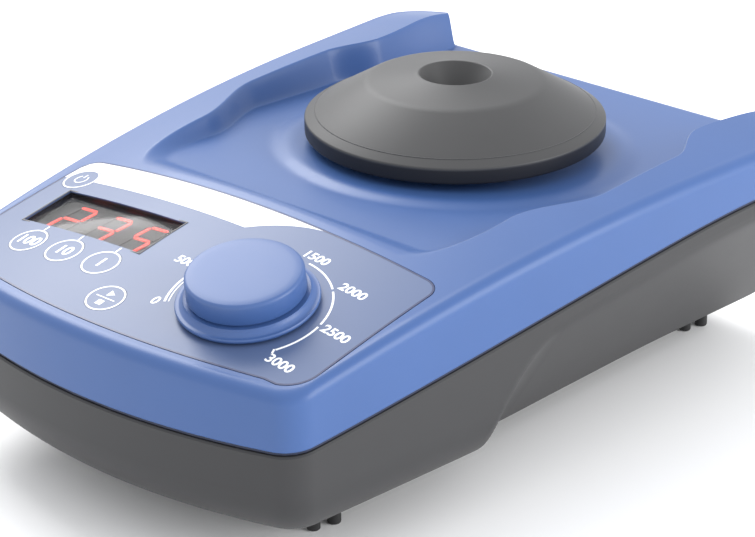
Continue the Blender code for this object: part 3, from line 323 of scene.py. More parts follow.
def carved(piece, tool, crease=32):
    """Cut a closed bmesh out of a piece and keep only the result."""
    data = bpy.data.meshes.new("cutting_tool")
    bmesh.ops.recalc_face_normals(tool, faces=tool.faces[:])
    tool.to_mesh(data)
    tool.free()
    cutter = bpy.data.objects.new("cutting_tool", data)
    bpy.context.scene.collection.objects.link(cutter)
    modifier = piece.modifiers.new("cut", "BOOLEAN")
    modifier.object = cutter
    modifier.solver = "MANIFOLD"
    bpy.context.view_layer.update()
    evaluated = piece.evaluated_get(bpy.context.evaluated_depsgraph_get())
    result = bpy.data.meshes.new_from_object(evaluated)
    piece.modifiers.clear()
    old = piece.data
    piece.data = result
    bpy.data.meshes.remove(old)
    bpy.data.objects.remove(cutter)
    bpy.data.meshes.remove(data)
    result.name = piece.name
    result.shade_smooth()
    result.set_sharp_from_angle(angle=math.radians(crease))


def undercut_height(y):
    """Upper edge of the slanted side face."""
    if y >= UNDERCUT_FULL:
        return seam_height(y) - UNDERCUT_BAND
    top = seam_height(UNDERCUT_FULL) - UNDERCUT_BAND
    share = (UNDERCUT_FULL - y) / (UNDERCUT_FULL - UNDERCUT_START)
    return top - (top - BASE_HEIGHT) * share**UNDERCUT_POWER


def cut_back(x, y, z):
    """Keep a point inside the slanted side face."""
    if y < UNDERCUT_START or z > undercut_height(y) + UNDERCUT_REACH:
        return x
    limit = half_width(y) - UNDERCUT_SLOPE * (undercut_height(y) - z)
    return math.copysign(soft_min(abs(x), limit, UNDERCUT_BLEND), x)


def lower_shell():
    """Flat base drawn out into the belly and up the sides to the seam."""
    base_inset = (BELLY_INSET, BELLY_INSET * REAR_BELLY_SHARE)
    belly_top = BASE_HEIGHT + BELLY_HEIGHT

    def spread(column, reach, y):
        return min(reach, half_width(y)) * column / BASE_COLUMNS

    mesh = plan_sheet(BASE_COLUMNS, base_inset, spread, lambda x, y: BASE_HEIGHT)
    edges = open_edges(mesh)
    previous = base_inset
    levels = []
    for step in range(1, BELLY_STEPS + 1):
        angle = math.pi / 2 * step / BELLY_STEPS
        run = BELLY_INSET * (1 - math.sin(angle))
        rise = BASE_HEIGHT + BELLY_HEIGHT * (1 - math.cos(angle))
        levels.append(((run, run * REAR_BELLY_SHARE), lambda y, rise=rise: rise))
    for step in range(1, RISE_STEPS + 1):
        share = step / RISE_STEPS

        def climb(y, share=share):
            edge = max(undercut_height(y), belly_top + BELLY_CLEARANCE)
            return belly_top + (edge - belly_top) * share

        levels.append(((0.0, 0.0), climb))
    for step in range(1, BAND_STEPS + 1):
        share = step / BAND_STEPS

        def rest(y, share=share):
            edge = max(undercut_height(y), belly_top + BELLY_CLEARANCE)
            return edge + (seam_height(y) - SEAM_GAP - RIM_ROUND - edge) * share

        levels.append(((0.0, 0.0), rest))
    levels.append(((RIM_ROUND, RIM_ROUND), lambda y: seam_height(y) - SEAM_GAP))
    levels.append(((LIP_WIDTH, LIP_WIDTH), lambda y: seam_height(y) - SEAM_GAP))
    levels.append(((LIP_WIDTH, LIP_WIDTH), lambda y: seam_height(y) - LIP_DROP))
    for inset, height in levels:

        def place(point, old=previous, new=inset, height=height):
            x, y = drawn_in(*let_out(point.x, point.y, *old), *new)
            return Vector((x, y, height(y)))

        edges = drawn_out(mesh, edges, place)
        previous = inset
    for vertex in mesh.verts:
        vertex.co.x = cut_back(*vertex.co)
    walled(mesh, SHELL_WALL)
    return mesh


grey_coat = coated(
    "grey_paint", (0.037, 0.037, 0.039), 0.46, 3000.0, 0.3, {"Specular IOR Level": 0.32}
)
shell_below = shown(
    "lower_shell", lower_shell(), grey_coat, "housing", ["lower_housing"], 28, False
)

# Parts inside the housing.
# The circuit boards are lacquered, the drive is turned steel, cast aluminium and brass,
# and the small electric parts are moulded. Each keeps its own solid.


def machined(name, colour, roughness, stretch):
    """Turned or rolled metal with tool marks along one direction."""
    finish = Finish(name, {"Metallic": 1.0})
    marks = finish.noise(900.0, 4.0, stretch)
    finish.feed("Base Color", finish.mixed(toned(colour, 0.8), toned(colour, 1.1), marks))
    finish.feed("Roughness", 0.2 * marks + (roughness - 0.1))
    finish.relief(marks, 0.3, 0.00004)
    return finish


inner_finishes = {
    "seal_rubber": coated("seal_rubber", (0.010, 0.016, 0.045), 0.5),
    "dark_plastic": coated("dark_plastic", (0.022, 0.022, 0.024), 0.45),
    "board_green": coated("board_green", (0.012, 0.09, 0.04), 0.3, 400.0),
    "steel": machined("steel", (0.56, 0.56, 0.58), 0.3, (1, 1, 12)),
    "aluminium": machined("aluminium", (0.72, 0.73, 0.74), 0.38, (1, 1, 8)),
    "brass": machined("brass", (0.68, 0.48, 0.2), 0.32, (1, 1, 12)),
}

# Upper shell.
# Moulded in one piece and painted a satin light blue. A bowed nose falls to the front,
# two wings rise at the sides, and the tray between them is open to the rear.
WING_HEIGHT = 0.0658
NOSE_DROP = 0.01685
NOSE_END = 0.744
NOSE_POWER = 2.03
TAIL_DROP = 0.0030
TAIL_LENGTH = 0.0225
CROWN_RADIUS = 0.413
TOP_ROUND = 0.0032
TRAY_REAR_HEIGHT = 0.0565
TRAY_SLOPE = 0.040
TRAY_FRONT = -0.0360
TRAY_CORNER = 0.0090
TRAY_FRONT_RUN = 0.0070
TRAY_WALL_RUN = 0.0024
TRAY_FRONT_HALF = 0.0520
TRAY_BULGE_HALF = 0.0605
TRAY_NECK_HALF = 0.0545
TRAY_REAR_HALF = 0.0595
BULGE_START = -0.0080
BULGE_FULL = 0.0190
BULGE_END = 0.0480
NECK_Y = 0.0640
TABLE_Y = 0.0330
SHAFT_Y = 0.03075
PLINTH_RADIUS = 0.0490
PLINTH_TOP_RADIUS = 0.0430
PLINTH_HEIGHT = 0.0010
NECK_OPENING = 0.01205
COLLAR_RADIUS = 0.01405
COLLAR_LOW = 0.0570
COLLAR_TOP = 0.0619
COLLAR_EDGE = 0.0003
COLLAR_SLOPE = 0.0004
NECK_CUT_LOW = 0.05
NECK_CUT_LENGTH = 0.02
WALL_REACH_SHARE = 0.94
NEAR_WALL_SHARE = 0.76
WALL_FOOT_SHARE = 1.1
EDGE_ROOM_SHARE = 0.6
EDGE_STEPS = 9
SIDE_STEPS = 8
COLUMN_STOPS = (26, 40, 58, 70)


def smooth_step(value, start, end):
    """Soft rise from 0 at start to 1 at end."""
    share = min(1.0, max(0.0, (value - start) / (end - start)))
    return share * share * (3 - 2 * share)


def crown_height(x, y):
    """Arched surface of the housing before the tray is sunk into it."""
    share = min(1.0, max(0.0, (y - FRONT_Y) / (BODY_DEPTH * NOSE_END)))
    rise = WING_HEIGHT - NOSE_DROP * (1 - share) ** NOSE_POWER
    tail = max(0.0, (y - (REAR_Y - TAIL_LENGTH)) / TAIL_LENGTH)
    side = half_width(y)
    return rise - TAIL_DROP * tail * tail + (side * side - x * x) / (2 * CROWN_RADIUS)


def tray_half_width(y):
    """Half width of the tray: it swells round the attachment."""
    swell = (TRAY_BULGE_HALF - TRAY_FRONT_HALF) * smooth_step(y, BULGE_START, BULGE_FULL)
    neck = (TRAY_BULGE_HALF - TRAY_NECK_HALF) * smooth_step(y, BULGE_END, NECK_Y)
    flare = (TRAY_REAR_HALF - TRAY_NECK_HALF) * smooth_step(y, NECK_Y, REAR_Y)
    return TRAY_FRONT_HALF + swell - neck + flare


def top_height(x, y):
    """Upper surface with the tray and the low plinth round the drive."""
    across = abs(x) - (tray_half_width(y) - TRAY_CORNER)
    along = (TRAY_FRONT - y) * TRAY_WALL_RUN / TRAY_FRONT_RUN + TRAY_CORNER
    outside = math.hypot(max(across, 0.0), max(along, 0.0))
    distance = outside + min(max(across, along), 0.0) - TRAY_CORNER
    share = smooth_step(-distance, -TRAY_WALL_RUN / 3, TRAY_WALL_RUN)
    crown = crown_height(x, y)
    floor = TRAY_REAR_HEIGHT + TRAY_SLOPE * (REAR_Y - y)
    plinth = smooth_step(-math.hypot(x, y - TABLE_Y), -PLINTH_RADIUS, -PLINTH_TOP_RADIUS)
    return crown - max(0.0, crown - floor) * share + PLINTH_HEIGHT * plinth


def wing_spread(column, reach, y):
    """Columns across the upper shell, close together at the tray's walls."""
    wall = min(tray_half_width(y), reach * WALL_REACH_SHARE)
    run = min(TRAY_WALL_RUN, (reach - wall) / 2)
    corner, foot, head, edge = COLUMN_STOPS
    near = wall * NEAR_WALL_SHARE
    low = wall - WALL_FOOT_SHARE * run
    stops = ((0, 0.0), (corner, near), (foot, low), (head, wall + run / 2), (edge, reach))
    return between(column, stops)


def upper_shell():
    """Top skin, its rounded edge, and the side wall down to the seam."""
    inset = (TOP_ROUND, TOP_ROUND)
    mesh = plan_sheet(COLUMN_STOPS[-1], inset, wing_spread, top_height)
    edges = open_edges(mesh)
    previous = inset
    for step in range(1, EDGE_STEPS + SIDE_STEPS + 1):
        angle = math.pi / 2 * min(1.0, step / EDGE_STEPS)
        run = TOP_ROUND * (1 - math.sin(angle))
        climb = max(0, step - EDGE_STEPS) / SIDE_STEPS

        def place(point, old=previous, new=(run, run), angle=angle, climb=climb):
            plan = let_out(point.x, point.y, *old)
            top = drawn_in(*plan, TOP_ROUND, TOP_ROUND)
            x, y = drawn_in(*plan, *new)
            head = top_height(*top)
            room = (head - seam_height(y)) * EDGE_ROOM_SHARE
            height = head - min(TOP_ROUND, room) * (1 - math.cos(angle))
            return Vector((x, y, height + (seam_height(y) + RIM_ROUND - height) * climb))

        edges = drawn_out(mesh, edges, place)
        previous = (run, run)

    def lip(point):
        x, y = drawn_in(point.x, point.y, RIM_ROUND, RIM_ROUND)
        return Vector((x, y, seam_height(y)))

    drawn_out(mesh, edges, lip)
    walled(mesh, SHELL_WALL)
    return mesh


def surface_frame(x, y, depth=0.0):
    """Local frame on the sloping panel: Z along its normal, X to the right."""
    step = 0.0003
    slope_x = (crown_height(x + step, y) - crown_height(x - step, y)) / (2 * step)
    slope_y = (crown_height(x, y + step) - crown_height(x, y - step)) / (2 * step)
    normal = Vector((-slope_x, -slope_y, 1)).normalized()
    right = Vector((1, 0, slope_x)).normalized()
    matrix = Matrix((right, normal.cross(right), normal)).transposed().to_4x4()
    matrix.translation = Vector((x, y, crown_height(x, y))) - normal * depth
    return matrix


def lathe(profile, steps=96):
    """Full turn of a (radius, height) profile round the Z axis."""
    mesh = bmesh.new()
    points = [mesh.verts.new((radius, 0, height)) for radius, height in profile]
    edges = [mesh.edges.new(pair) for pair in zip(points, points[1:])]
    bmesh.ops.spin(
        mesh, geom=points + edges, cent=(0, 0, 0), axis=(0, 0, 1), angle=2 * math.pi,
        steps=steps, use_merge=True,
    )
    bmesh.ops.remove_doubles(mesh, verts=mesh.verts[:], dist=MERGE_GAP)
    bmesh.ops.recalc_face_normals(mesh, faces=mesh.faces[:])
    return mesh


def plug(radius, low, high, steps=64):
    """Plain round cutter."""
    return lathe([(0, low), (radius, low), (radius, high), (0, high)], steps)


def added(mesh, other, matrix=None):
    """Take another bmesh into this one, placed by a matrix."""
    if matrix is not None:
        bmesh.ops.transform(other, matrix=matrix, verts=other.verts[:])
    data = bpy.data.meshes.new("passing")
    other.to_mesh(data)
    other.free()
    mesh.from_mesh(data)
    bpy.data.meshes.remove(data)


blue_coat = coated(
    "blue_paint", (0.044, 0.100, 0.270), 0.4, 3600.0, 0.22,
    {"Specular IOR Level": 0.38, "Coat Weight": 0.05},
)
shell_above = shown(
    "upper_shell", upper_shell(), blue_coat, "housing", ["upper_housing"], 40, False
)
bore = plug(NECK_OPENING, 0.0, NECK_CUT_LENGTH)
bmesh.ops.translate(bore, verts=bore.verts[:], vec=(0, SHAFT_Y, NECK_CUT_LOW))
carved(shell_above, bore, 40)

collar_edge = COLLAR_TOP - COLLAR_EDGE
collar = lathe([
    (NECK_OPENING, COLLAR_LOW),
    (COLLAR_RADIUS, COLLAR_LOW),
    (COLLAR_RADIUS, collar_edge),
    (COLLAR_RADIUS - COLLAR_SLOPE, COLLAR_TOP),
    (NECK_OPENING + COLLAR_EDGE, COLLAR_TOP),
    (NECK_OPENING, collar_edge),
    (NECK_OPENING, COLLAR_LOW),
])
bmesh.ops.translate(collar, verts=collar.verts[:], vec=(0, SHAFT_Y, 0))
shown("neck_collar", collar, blue_coat, "housing")

# Control panel film.
# A printed polyester sheet glued into a shallow recess of the nose. It is grey-blue with
# a thin dark border, a bare white band at the rear, and a scale printed round the knob.
PANEL_HALF_WIDTH = 0.0600
PANEL_FRONT = -0.0981
PANEL_REAR = -0.0408
PANEL_RADIUS = 0.174
PANEL_FRONT_CORNER = 0.0088
PANEL_REAR_CORNER = 0.0045
FILM_THICKNESS = 0.0004
FILM_GAP = 0.0002
BORDER_WIDTH = 0.00045
INK_THICKNESS = 0.00004
WINDOW_X = -0.0297
WINDOW_Y = -0.0643
WINDOW_WIDTH = 0.0421
WINDOW_HEIGHT = 0.0157
KEY_RADIUS = 0.0050
KEY_GAP = 0.00008
KEY_PLACES = {
    "power": (-0.0535, -0.0503),
    "hundreds": (-0.0403, -0.0794),
    "tens": (-0.0272, -0.0794),
    "ones": (-0.0140, -0.0794),
    "start_stop": (-0.0012, -0.0896),
}
KNOB_X = 0.0291
KNOB_Y = -0.0730
SCALE_RADIUS = 0.0195
SCALE_LINE = 0.00050
SCALE_FIGURE = 0.0028
BAND_LOW = -0.0506
BAND_ARC = 0.0324
SCALE_ARCS = ((88.0, 51.5), (48.5, 11.5), (8.5, -27.0))
START_ARCS = {"outer": (0.0195, 0.0201), "inner": (0.0187, 0.0190)}
START_ANGLES = (212.0, 180.0)
HOOK_ENDS = ((0.0170, -0.0089), (0.0176, -0.0103))
LEADER_WIDTH = 0.00045
LEADER_ENDS = {
    "hundreds": (-0.0404, -0.0725),
    "tens": (-0.0278, -0.0725),
    "ones": (-0.0143, -0.0725),
}
CAPITAL_SHARE = 0.72
THICKENING_SHARE = 0.028
KNOB_SHAFT_HOLE = 0.0033
RECESS_ROOM = 0.0001
WINDOW_ROOM = 0.0012
KEY_ROOM = 0.0003
FILM_CUT = 0.004
SHELL_CUT = 0.008
WINDOW_CUT = 0.016
LONGEST_EDGE = 0.01
BORDER_CUTS = 30
FILM_ROWS = (16, 12, 40, 8)


def film_point(row, grow):
    """Right-hand point of the film's outline, its rows counted from the front middle."""
    side = PANEL_HALF_WIDTH + grow
    corner = PANEL_FRONT_CORNER + grow
    start = side - corner
    tilt = math.atan2(start, PANEL_RADIUS) - math.pi / 2
    low = PANEL_FRONT - grow + start * start / (2 * PANEL_RADIUS) - corner * math.sin(tilt)
    front, bend, flank, rear_bend = FILM_ROWS
    if row <= front:
        x = start * row / front
        return x, PANEL_FRONT - grow + x * x / (2 * PANEL_RADIUS)
    row -= front
    if row <= bend:
        angle = tilt * (1 - row / bend)
        return start + corner * math.cos(angle), low + corner * math.sin(angle)
    row -= bend
    corner = PANEL_REAR_CORNER + grow
    rear = PANEL_REAR + grow - corner
    if row <= flank:
        return side, low + (rear - low) * row / flank
    angle = math.pi / 2 * (row - flank) / rear_bend
    return side - corner * (1 - math.cos(angle)), rear + corner * math.sin(angle)


def film_sheet(grow, above, below, columns=48):
    """Closed sheet that follows the nose between two offsets."""
    sheet = bmesh.new()
    rows = sum(FILM_ROWS)
    bmesh.ops.create_grid(sheet, x_segments=columns, y_segments=rows, size=1)
    for vertex in sheet.verts:
        reach, y = film_point(round((vertex.co.y + 1) / 2 * rows), grow)
        vertex.co = (vertex.co.x * reach, y, 0)
    bmesh.ops.remove_doubles(sheet, verts=sheet.verts[:], dist=MERGE_GAP)
    raised(sheet, below, above)
    follow_nose(sheet)
    return sheet


def raised(mesh, low, high):
    """Give a flat shape thickness between two levels."""
    bmesh.ops.translate(mesh, verts=mesh.verts[:], vec=(0, 0, low))
    made = bmesh.ops.extrude_face_region(mesh, geom=mesh.faces[:], use_keep_orig=True)["geom"]
    top = [part for part in made if isinstance(part, bmesh.types.BMVert)]
    bmesh.ops.translate(mesh, verts=top, vec=(0, 0, high - low))
    bmesh.ops.recalc_face_normals(mesh, faces=mesh.faces[:])


def follow_nose(mesh):
    """Lift a plan shape onto the curved nose, its own heights kept."""
    for vertex in mesh.verts:
        vertex.co.z += crown_height(vertex.co.x, vertex.co.y)


def key_holes(mesh, radius, depth):
    """Cutters for the keys and the knob's shaft, added to a bmesh."""
    for x, y in KEY_PLACES.values():
        added(mesh, plug(radius, -depth, depth), surface_frame(x, y))
    added(mesh, plug(KNOB_SHAFT_HOLE, -depth, depth), surface_frame(KNOB_X, KNOB_Y))


def window_block(grow, depth):
    """Rectangular cutter for the display's opening."""
    block = bmesh.new()
    size = (WINDOW_WIDTH + grow, WINDOW_HEIGHT + grow, depth)
    bmesh.ops.create_cube(block, size=1, matrix=Matrix.Diagonal((*size, 1)))
    bmesh.ops.transform(block, matrix=surface_frame(WINDOW_X, WINDOW_Y), verts=block.verts[:])
    return block


carved(shell_above, film_sheet(FILM_GAP, FILM_CUT, -FILM_THICKNESS - RECESS_ROOM), 40)
openings = window_block(WINDOW_ROOM, WINDOW_CUT)
key_holes(openings, KEY_RADIUS + KEY_ROOM, SHELL_CUT)
carved(shell_above, openings, 40)

film_finish = coated("panel_print", (0.068, 0.105, 0.215), 0.42, 5200.0, 0.12)
border_ink = coated("border_ink", (0.012, 0.022, 0.09), 0.35, 5200.0, 0.1)
white_ink = coated("white_ink", (0.86, 0.87, 0.88), 0.4, 5200.0, 0.1)
film = shown(
    "panel_film", film_sheet(0.0, 0.0, -FILM_THICKNESS), film_finish, "housing",
    ["front_panel_film"],
)
holes = window_block(0.0, WINDOW_CUT)
key_holes(holes, KEY_RADIUS + KEY_GAP, FILM_CUT)
carved(film, holes)


def film_border():
    """Thin dark line printed along the film's edge."""
    line = bmesh.new()
    loops = []
    for grow in (0.0, -BORDER_WIDTH):
        right = [film_point(row, grow) for row in range(sum(FILM_ROWS) + 1)]
        places = right + [(-x, y) for x, y in reversed(right[1:])]
        loops.append([line.verts.new((x, y, 0)) for x, y in places])
    outer, inner = loops
    for index in range(len(outer)):
        after = (index + 1) % len(outer)
        line.faces.new((outer[index], outer[after], inner[after], inner[index]))
    long_edges = [edge for edge in line.edges if edge.calc_length() > LONGEST_EDGE]
    bmesh.ops.subdivide_edges(line, edges=long_edges, cuts=BORDER_CUTS, use_grid_fill=True)
    raised(line, -INK_THICKNESS, INK_THICKNESS)
    follow_nose(line)
    return line


shown("film_border", film_border(), border_ink, "housing")


def rear_band():
    """Bare white band: straight below, then an arc round the knob to its tip."""
    band = bmesh.new()
    bmesh.ops.create_grid(band, x_segments=120, y_segments=10, size=1)
    left = -PANEL_HALF_WIDTH + BORDER_WIDTH
    top = PANEL_REAR - BORDER_WIDTH
    tip = KNOB_X - math.sqrt(BAND_ARC**2 - (top - KNOB_Y) ** 2)
    for vertex in band.verts:
        x = left + (tip - left) * (vertex.co.x + 1) / 2
        reach = max(0.0, BAND_ARC**2 - (x - KNOB_X) ** 2)
        low = max(BAND_LOW, KNOB_Y + math.sqrt(reach))
        corner = PANEL_REAR_CORNER - BORDER_WIDTH
        over = max(0.0, left + corner - x)
        high = top - corner + math.sqrt(max(0.0, corner**2 - over**2))
        low = min(low, high)
        vertex.co = (x, low + (high - low) * (vertex.co.y + 1) / 2, 0)
    bmesh.ops.remove_doubles(band, verts=band.verts[:], dist=MERGE_GAP)
    raised(band, -INK_THICKNESS, INK_THICKNESS)
    follow_nose(band)
    return band


def inked(name, mesh, body="housing"):
    """Printed mark as a thin layer of white ink."""
    return shown(name, mesh, white_ink, body)


band = inked("white_band", rear_band())
x, y = KEY_PLACES["power"]
hole = plug(KEY_RADIUS + KEY_GAP, -FILM_CUT, FILM_CUT)
bmesh.ops.transform(hole, matrix=surface_frame(x, y), verts=hole.verts[:])
carved(band, hole)


def arc_line(inner, outer, start, end, steps=48):
    """Flat stroke along an arc, its angles in degrees."""
    mesh = bmesh.new()
    ends = [mesh.verts.new((radius, 0, 0)) for radius in (inner, outer)]
    edge = mesh.edges.new(ends)
    turn = Matrix.Rotation(math.radians(start), 3, "Z")
    bmesh.ops.rotate(mesh, verts=ends, cent=(0, 0, 0), matrix=turn)
    full = abs(end - start) >= 360
    bmesh.ops.spin(
        mesh, geom=[*ends, edge], cent=(0, 0, 0), axis=(0, 0, 1), angle=math.radians(end - start),
        steps=steps, use_merge=full,
    )
    return mesh


def straight_line(start, end, width):
    """Flat stroke between two points."""
    first, last = Vector(start), Vector(end)
    run = last - first
    mesh = bmesh.new()
    bmesh.ops.create_grid(mesh, x_segments=6, y_segments=1, size=0.5)
    turn = Matrix.Rotation(math.atan2(run.y, run.x), 4, "Z")
    place = Matrix.Translation((*((first + last) / 2), 0)) @ turn
    stretch = Matrix.Diagonal((run.length, width, 1, 1))
    bmesh.ops.transform(mesh, matrix=place @ stretch, verts=mesh.verts[:])
    return mesh


def figures(words, height):
    """Flat lettering, centred on the origin."""
    curve = bpy.data.curves.new("figures", "FONT")
    curve.body = words
    curve.size = height / CAPITAL_SHARE
    curve.align_x = "CENTER"
    curve.align_y = "CENTER"
    curve.offset = height * THICKENING_SHARE
    carrier = bpy.data.objects.new("figures", curve)
    bpy.context.scene.collection.objects.link(carrier)
    bpy.context.view_layer.update()
    evaluated = carrier.evaluated_get(bpy.context.evaluated_depsgraph_get())
    data = bpy.data.meshes.new_from_object(evaluated)
    mesh = bmesh.new()
    mesh.from_mesh(data)
    bpy.data.meshes.remove(data)
    bpy.data.objects.remove(carrier)
    bpy.data.curves.remove(curve)
    bmesh.ops.remove_doubles(mesh, verts=mesh.verts[:], dist=2 * MERGE_GAP)
    return mesh


def printed_round_knob(name, mesh):
    """Print a flat mark, drawn round the knob's middle, on the film."""
    bmesh.ops.translate(mesh, verts=mesh.verts[:], vec=(KNOB_X, KNOB_Y, 0))
    raised(mesh, -INK_THICKNESS, INK_THICKNESS)
    follow_nose(mesh)
    return inked(name, mesh)


for words, radius, angle in (
    ("0", 0.0221, 211.0),
    ("500", 0.0252, 171.0),
    ("1000", 0.0236, 131.0),
    ("1500", 0.0222, 89.0),
    ("2000", 0.0240, 46.5),
    ("2500", 0.0244, 8.0),
    ("3000", 0.0244, -28.8),
):
    label = figures(words, SCALE_FIGURE)
    angle = math.radians(angle)
    place = (radius * math.cos(angle), radius * math.sin(angle), 0)
    bmesh.ops.translate(label, verts=label.verts[:], vec=place)
    printed_round_knob("scale_figure_" + words, label)

inner = SCALE_RADIUS - SCALE_LINE / 2
outer = SCALE_RADIUS + SCALE_LINE / 2
for number, (start, end) in enumerate(SCALE_ARCS):
    printed_round_knob(f"scale_arc_{number + 1}", arc_line(inner, outer, start, end))
printed_round_knob("scale_hook", straight_line(*HOOK_ENDS, SCALE_LINE))
for side, radii in START_ARCS.items():
    printed_round_knob("scale_start_" + side, arc_line(*radii, *START_ANGLES))

for number, (name, end) in enumerate(LEADER_ENDS.items()):
    x, y = KEY_PLACES[name]
    away = (Vector(end) - Vector((x, y))).normalized() * KEY_RADIUS
    leader = straight_line((x + away.x, y + away.y), end, LEADER_WIDTH)
    raised(leader, -INK_THICKNESS, INK_THICKNESS)
    follow_nose(leader)
    inked(f"key_leader_{number + 1}", leader)

# Display.
# Three seven-segment figures on a black plate under a smoked window that sits about a
# millimetre below the film. A black liner round them is painted shade on the opening's walls.
GLASS_DEPTH = 0.0010
GLASS_THICKNESS = 0.0010
PLATE_DEPTH = 0.0031
FIGURE_HEIGHT = 0.0112
FIGURE_WIDTH = 0.0062
FIGURE_PITCH = 0.0129
BAR_WIDTH = 0.00082
BAR_GAP = 0.0007
FIGURE_SLANT = 0.14
LIT_BARS = ("abged", "abgcd", "afgcd")
BAR_THICKNESS = 0.0003
PLATE_THICKNESS = 0.0004
PLATE_CLEARANCE = 0.0002
GLASS_CLEARANCE = 0.0001
GLASS_EDGE = 0.0001
SHADE_LINER_MARGIN = 0.001
SHADE_LINER_WIDTH = 0.00055
SHADE_LINER_BELOW_PLATE = 0.0005
SHADE_LINER_BELOW_FILM = 0.00005


def window_shade_liner():
    """Rectangular black liner between the film and the plate, painted shade on the opening's walls."""
    liner = bmesh.new()
    bmesh.ops.create_grid(liner, x_segments=1, y_segments=1, size=0.5)
    size = (WINDOW_WIDTH + SHADE_LINER_MARGIN, WINDOW_HEIGHT + SHADE_LINER_MARGIN, 1)
    bmesh.ops.scale(liner, verts=liner.verts[:], vec=size)
    bmesh.ops.inset_region(liner, faces=liner.faces[:], thickness=SHADE_LINER_WIDTH, use_boundary=True)
    middle = [face for face in liner.faces if not any(edge.is_boundary for edge in face.edges)]
    bmesh.ops.delete(liner, geom=middle, context="FACES")
    raised(liner, -PLATE_DEPTH - SHADE_LINER_BELOW_PLATE, -FILM_THICKNESS - SHADE_LINER_BELOW_FILM)
    bmesh.ops.transform(liner, matrix=surface_frame(WINDOW_X, WINDOW_Y), verts=liner.verts[:])
    return liner


def bar_shape(length):
    """Pointed bar of a seven-segment figure, lying along X."""
    bar = bmesh.new()
    radius = BAR_WIDTH / 2 / math.sin(math.pi / 3)
    bmesh.ops.create_circle(bar, cap_ends=True, segments=6, radius=radius)
    turn = Matrix.Rotation(math.pi / 6, 3, "Z")
    tips = bar.verts[:]
    if not any(abs(vertex.co.y) < radius / 10 for vertex in tips):
        bmesh.ops.rotate(bar, verts=tips, cent=(0, 0, 0), matrix=turn)
    for vertex in tips:
        vertex.co.x += math.copysign(length / 2 - radius, vertex.co.x)
    return bar


def seven_bars():
    """Name, centre and turn of each bar of a figure."""
    side, half = FIGURE_WIDTH / 2, FIGURE_HEIGHT / 2
    return {
        "a": (0, half, 0), "g": (0, 0, 0), "d": (0, -half, 0),
        "b": (side, half / 2, 90), "c": (side, -half / 2, 90),
        "f": (-side, half / 2, 90), "e": (-side, -half / 2, 90),
    }


def display_bars(lit):
    """All lit or all dark bars of the three figures."""
    bars = bmesh.new()
    for index, wanted in enumerate(LIT_BARS):
        for name, (x, y, turn) in seven_bars().items():
            if (name in wanted) != lit:
                continue
            length = FIGURE_HEIGHT / 2 if turn else FIGURE_WIDTH
            shift = Matrix.Translation((x, y, 0)) @ Matrix.Rotation(math.radians(turn), 4, "Z")
            added(bars, bar_shape(length - BAR_GAP), shift)
        bars.verts.ensure_lookup_table()
        for vertex in bars.verts:
            if vertex.tag:
                continue
            vertex.tag = True
            vertex.co.x += vertex.co.y * FIGURE_SLANT + (index - 1) * FIGURE_PITCH
    raised(bars, 0.0, BAR_THICKNESS)
    place = surface_frame(WINDOW_X, WINDOW_Y, PLATE_DEPTH)
    bmesh.ops.transform(bars, matrix=place, verts=bars.verts[:])
    return bars


def glass_finish():
    """Smoked acrylic, clear enough for the lit bars to show."""
    finish = Finish("smoked_glass", {"Base Color": (0.02, 0.02, 0.022, 1)})
    cloud = finish.noise(70.0)
    finish.feed("Alpha", 0.12 * cloud + 0.26)
    finish.feed("Roughness", 0.08 * cloud + 0.06)
    return finish


def lit_finish():
    """Red light through a diffusing bar."""
    finish = Finish("red_light", {"Base Color": (0.6, 0.02, 0.015, 1), "Roughness": 0.4})
    glow = finish.noise(900.0)
    finish.feed("Emission Color", finish.mixed((1.0, 0.05, 0.035), (1.0, 0.11, 0.07), glow))
    finish.shader.inputs["Emission Strength"].default_value = 2.4
    return finish


# Painted shade: a black liner in the display opening stands in for the shade on its walls.
shown("display_shade_liner", window_shade_liner(), inner_finishes["dark_plastic"], "housing")
glass = bmesh.new()
size = (WINDOW_WIDTH - GLASS_CLEARANCE, WINDOW_HEIGHT - GLASS_CLEARANCE, GLASS_THICKNESS)
bmesh.ops.create_cube(glass, size=1, matrix=Matrix.Diagonal((*size, 1)))
bmesh.ops.bevel(
    glass, geom=glass.edges[:], offset=GLASS_EDGE, segments=2, profile=0.5, affect="EDGES", material=-1
)
place = surface_frame(WINDOW_X, WINDOW_Y, GLASS_DEPTH + GLASS_THICKNESS / 2)
bmesh.ops.transform(glass, matrix=place, verts=glass.verts[:])
shown("display_glass", glass, glass_finish(), "housing", ["display_window"])
plate = bmesh.new()
size = (WINDOW_WIDTH - PLATE_CLEARANCE, WINDOW_HEIGHT - PLATE_CLEARANCE, PLATE_THICKNESS)
bmesh.ops.create_cube(plate, size=1, matrix=Matrix.Diagonal((*size, 1)))
place = surface_frame(WINDOW_X, WINDOW_Y, PLATE_DEPTH + PLATE_THICKNESS / 2)
bmesh.ops.transform(plate, matrix=place, verts=plate.verts[:])
plate_finish = coated("display_plate", (0.035, 0.03, 0.03), 0.5)
shown("display_plate", plate, plate_finish, "housing", ["display_digits"])
shown("display_lit_bars", display_bars(True), lit_finish(), "housing")
dark_finish = coated("dark_bars", (0.05, 0.03, 0.03), 0.4)
shown("display_dark_bars", display_bars(False), dark_finish, "housing")

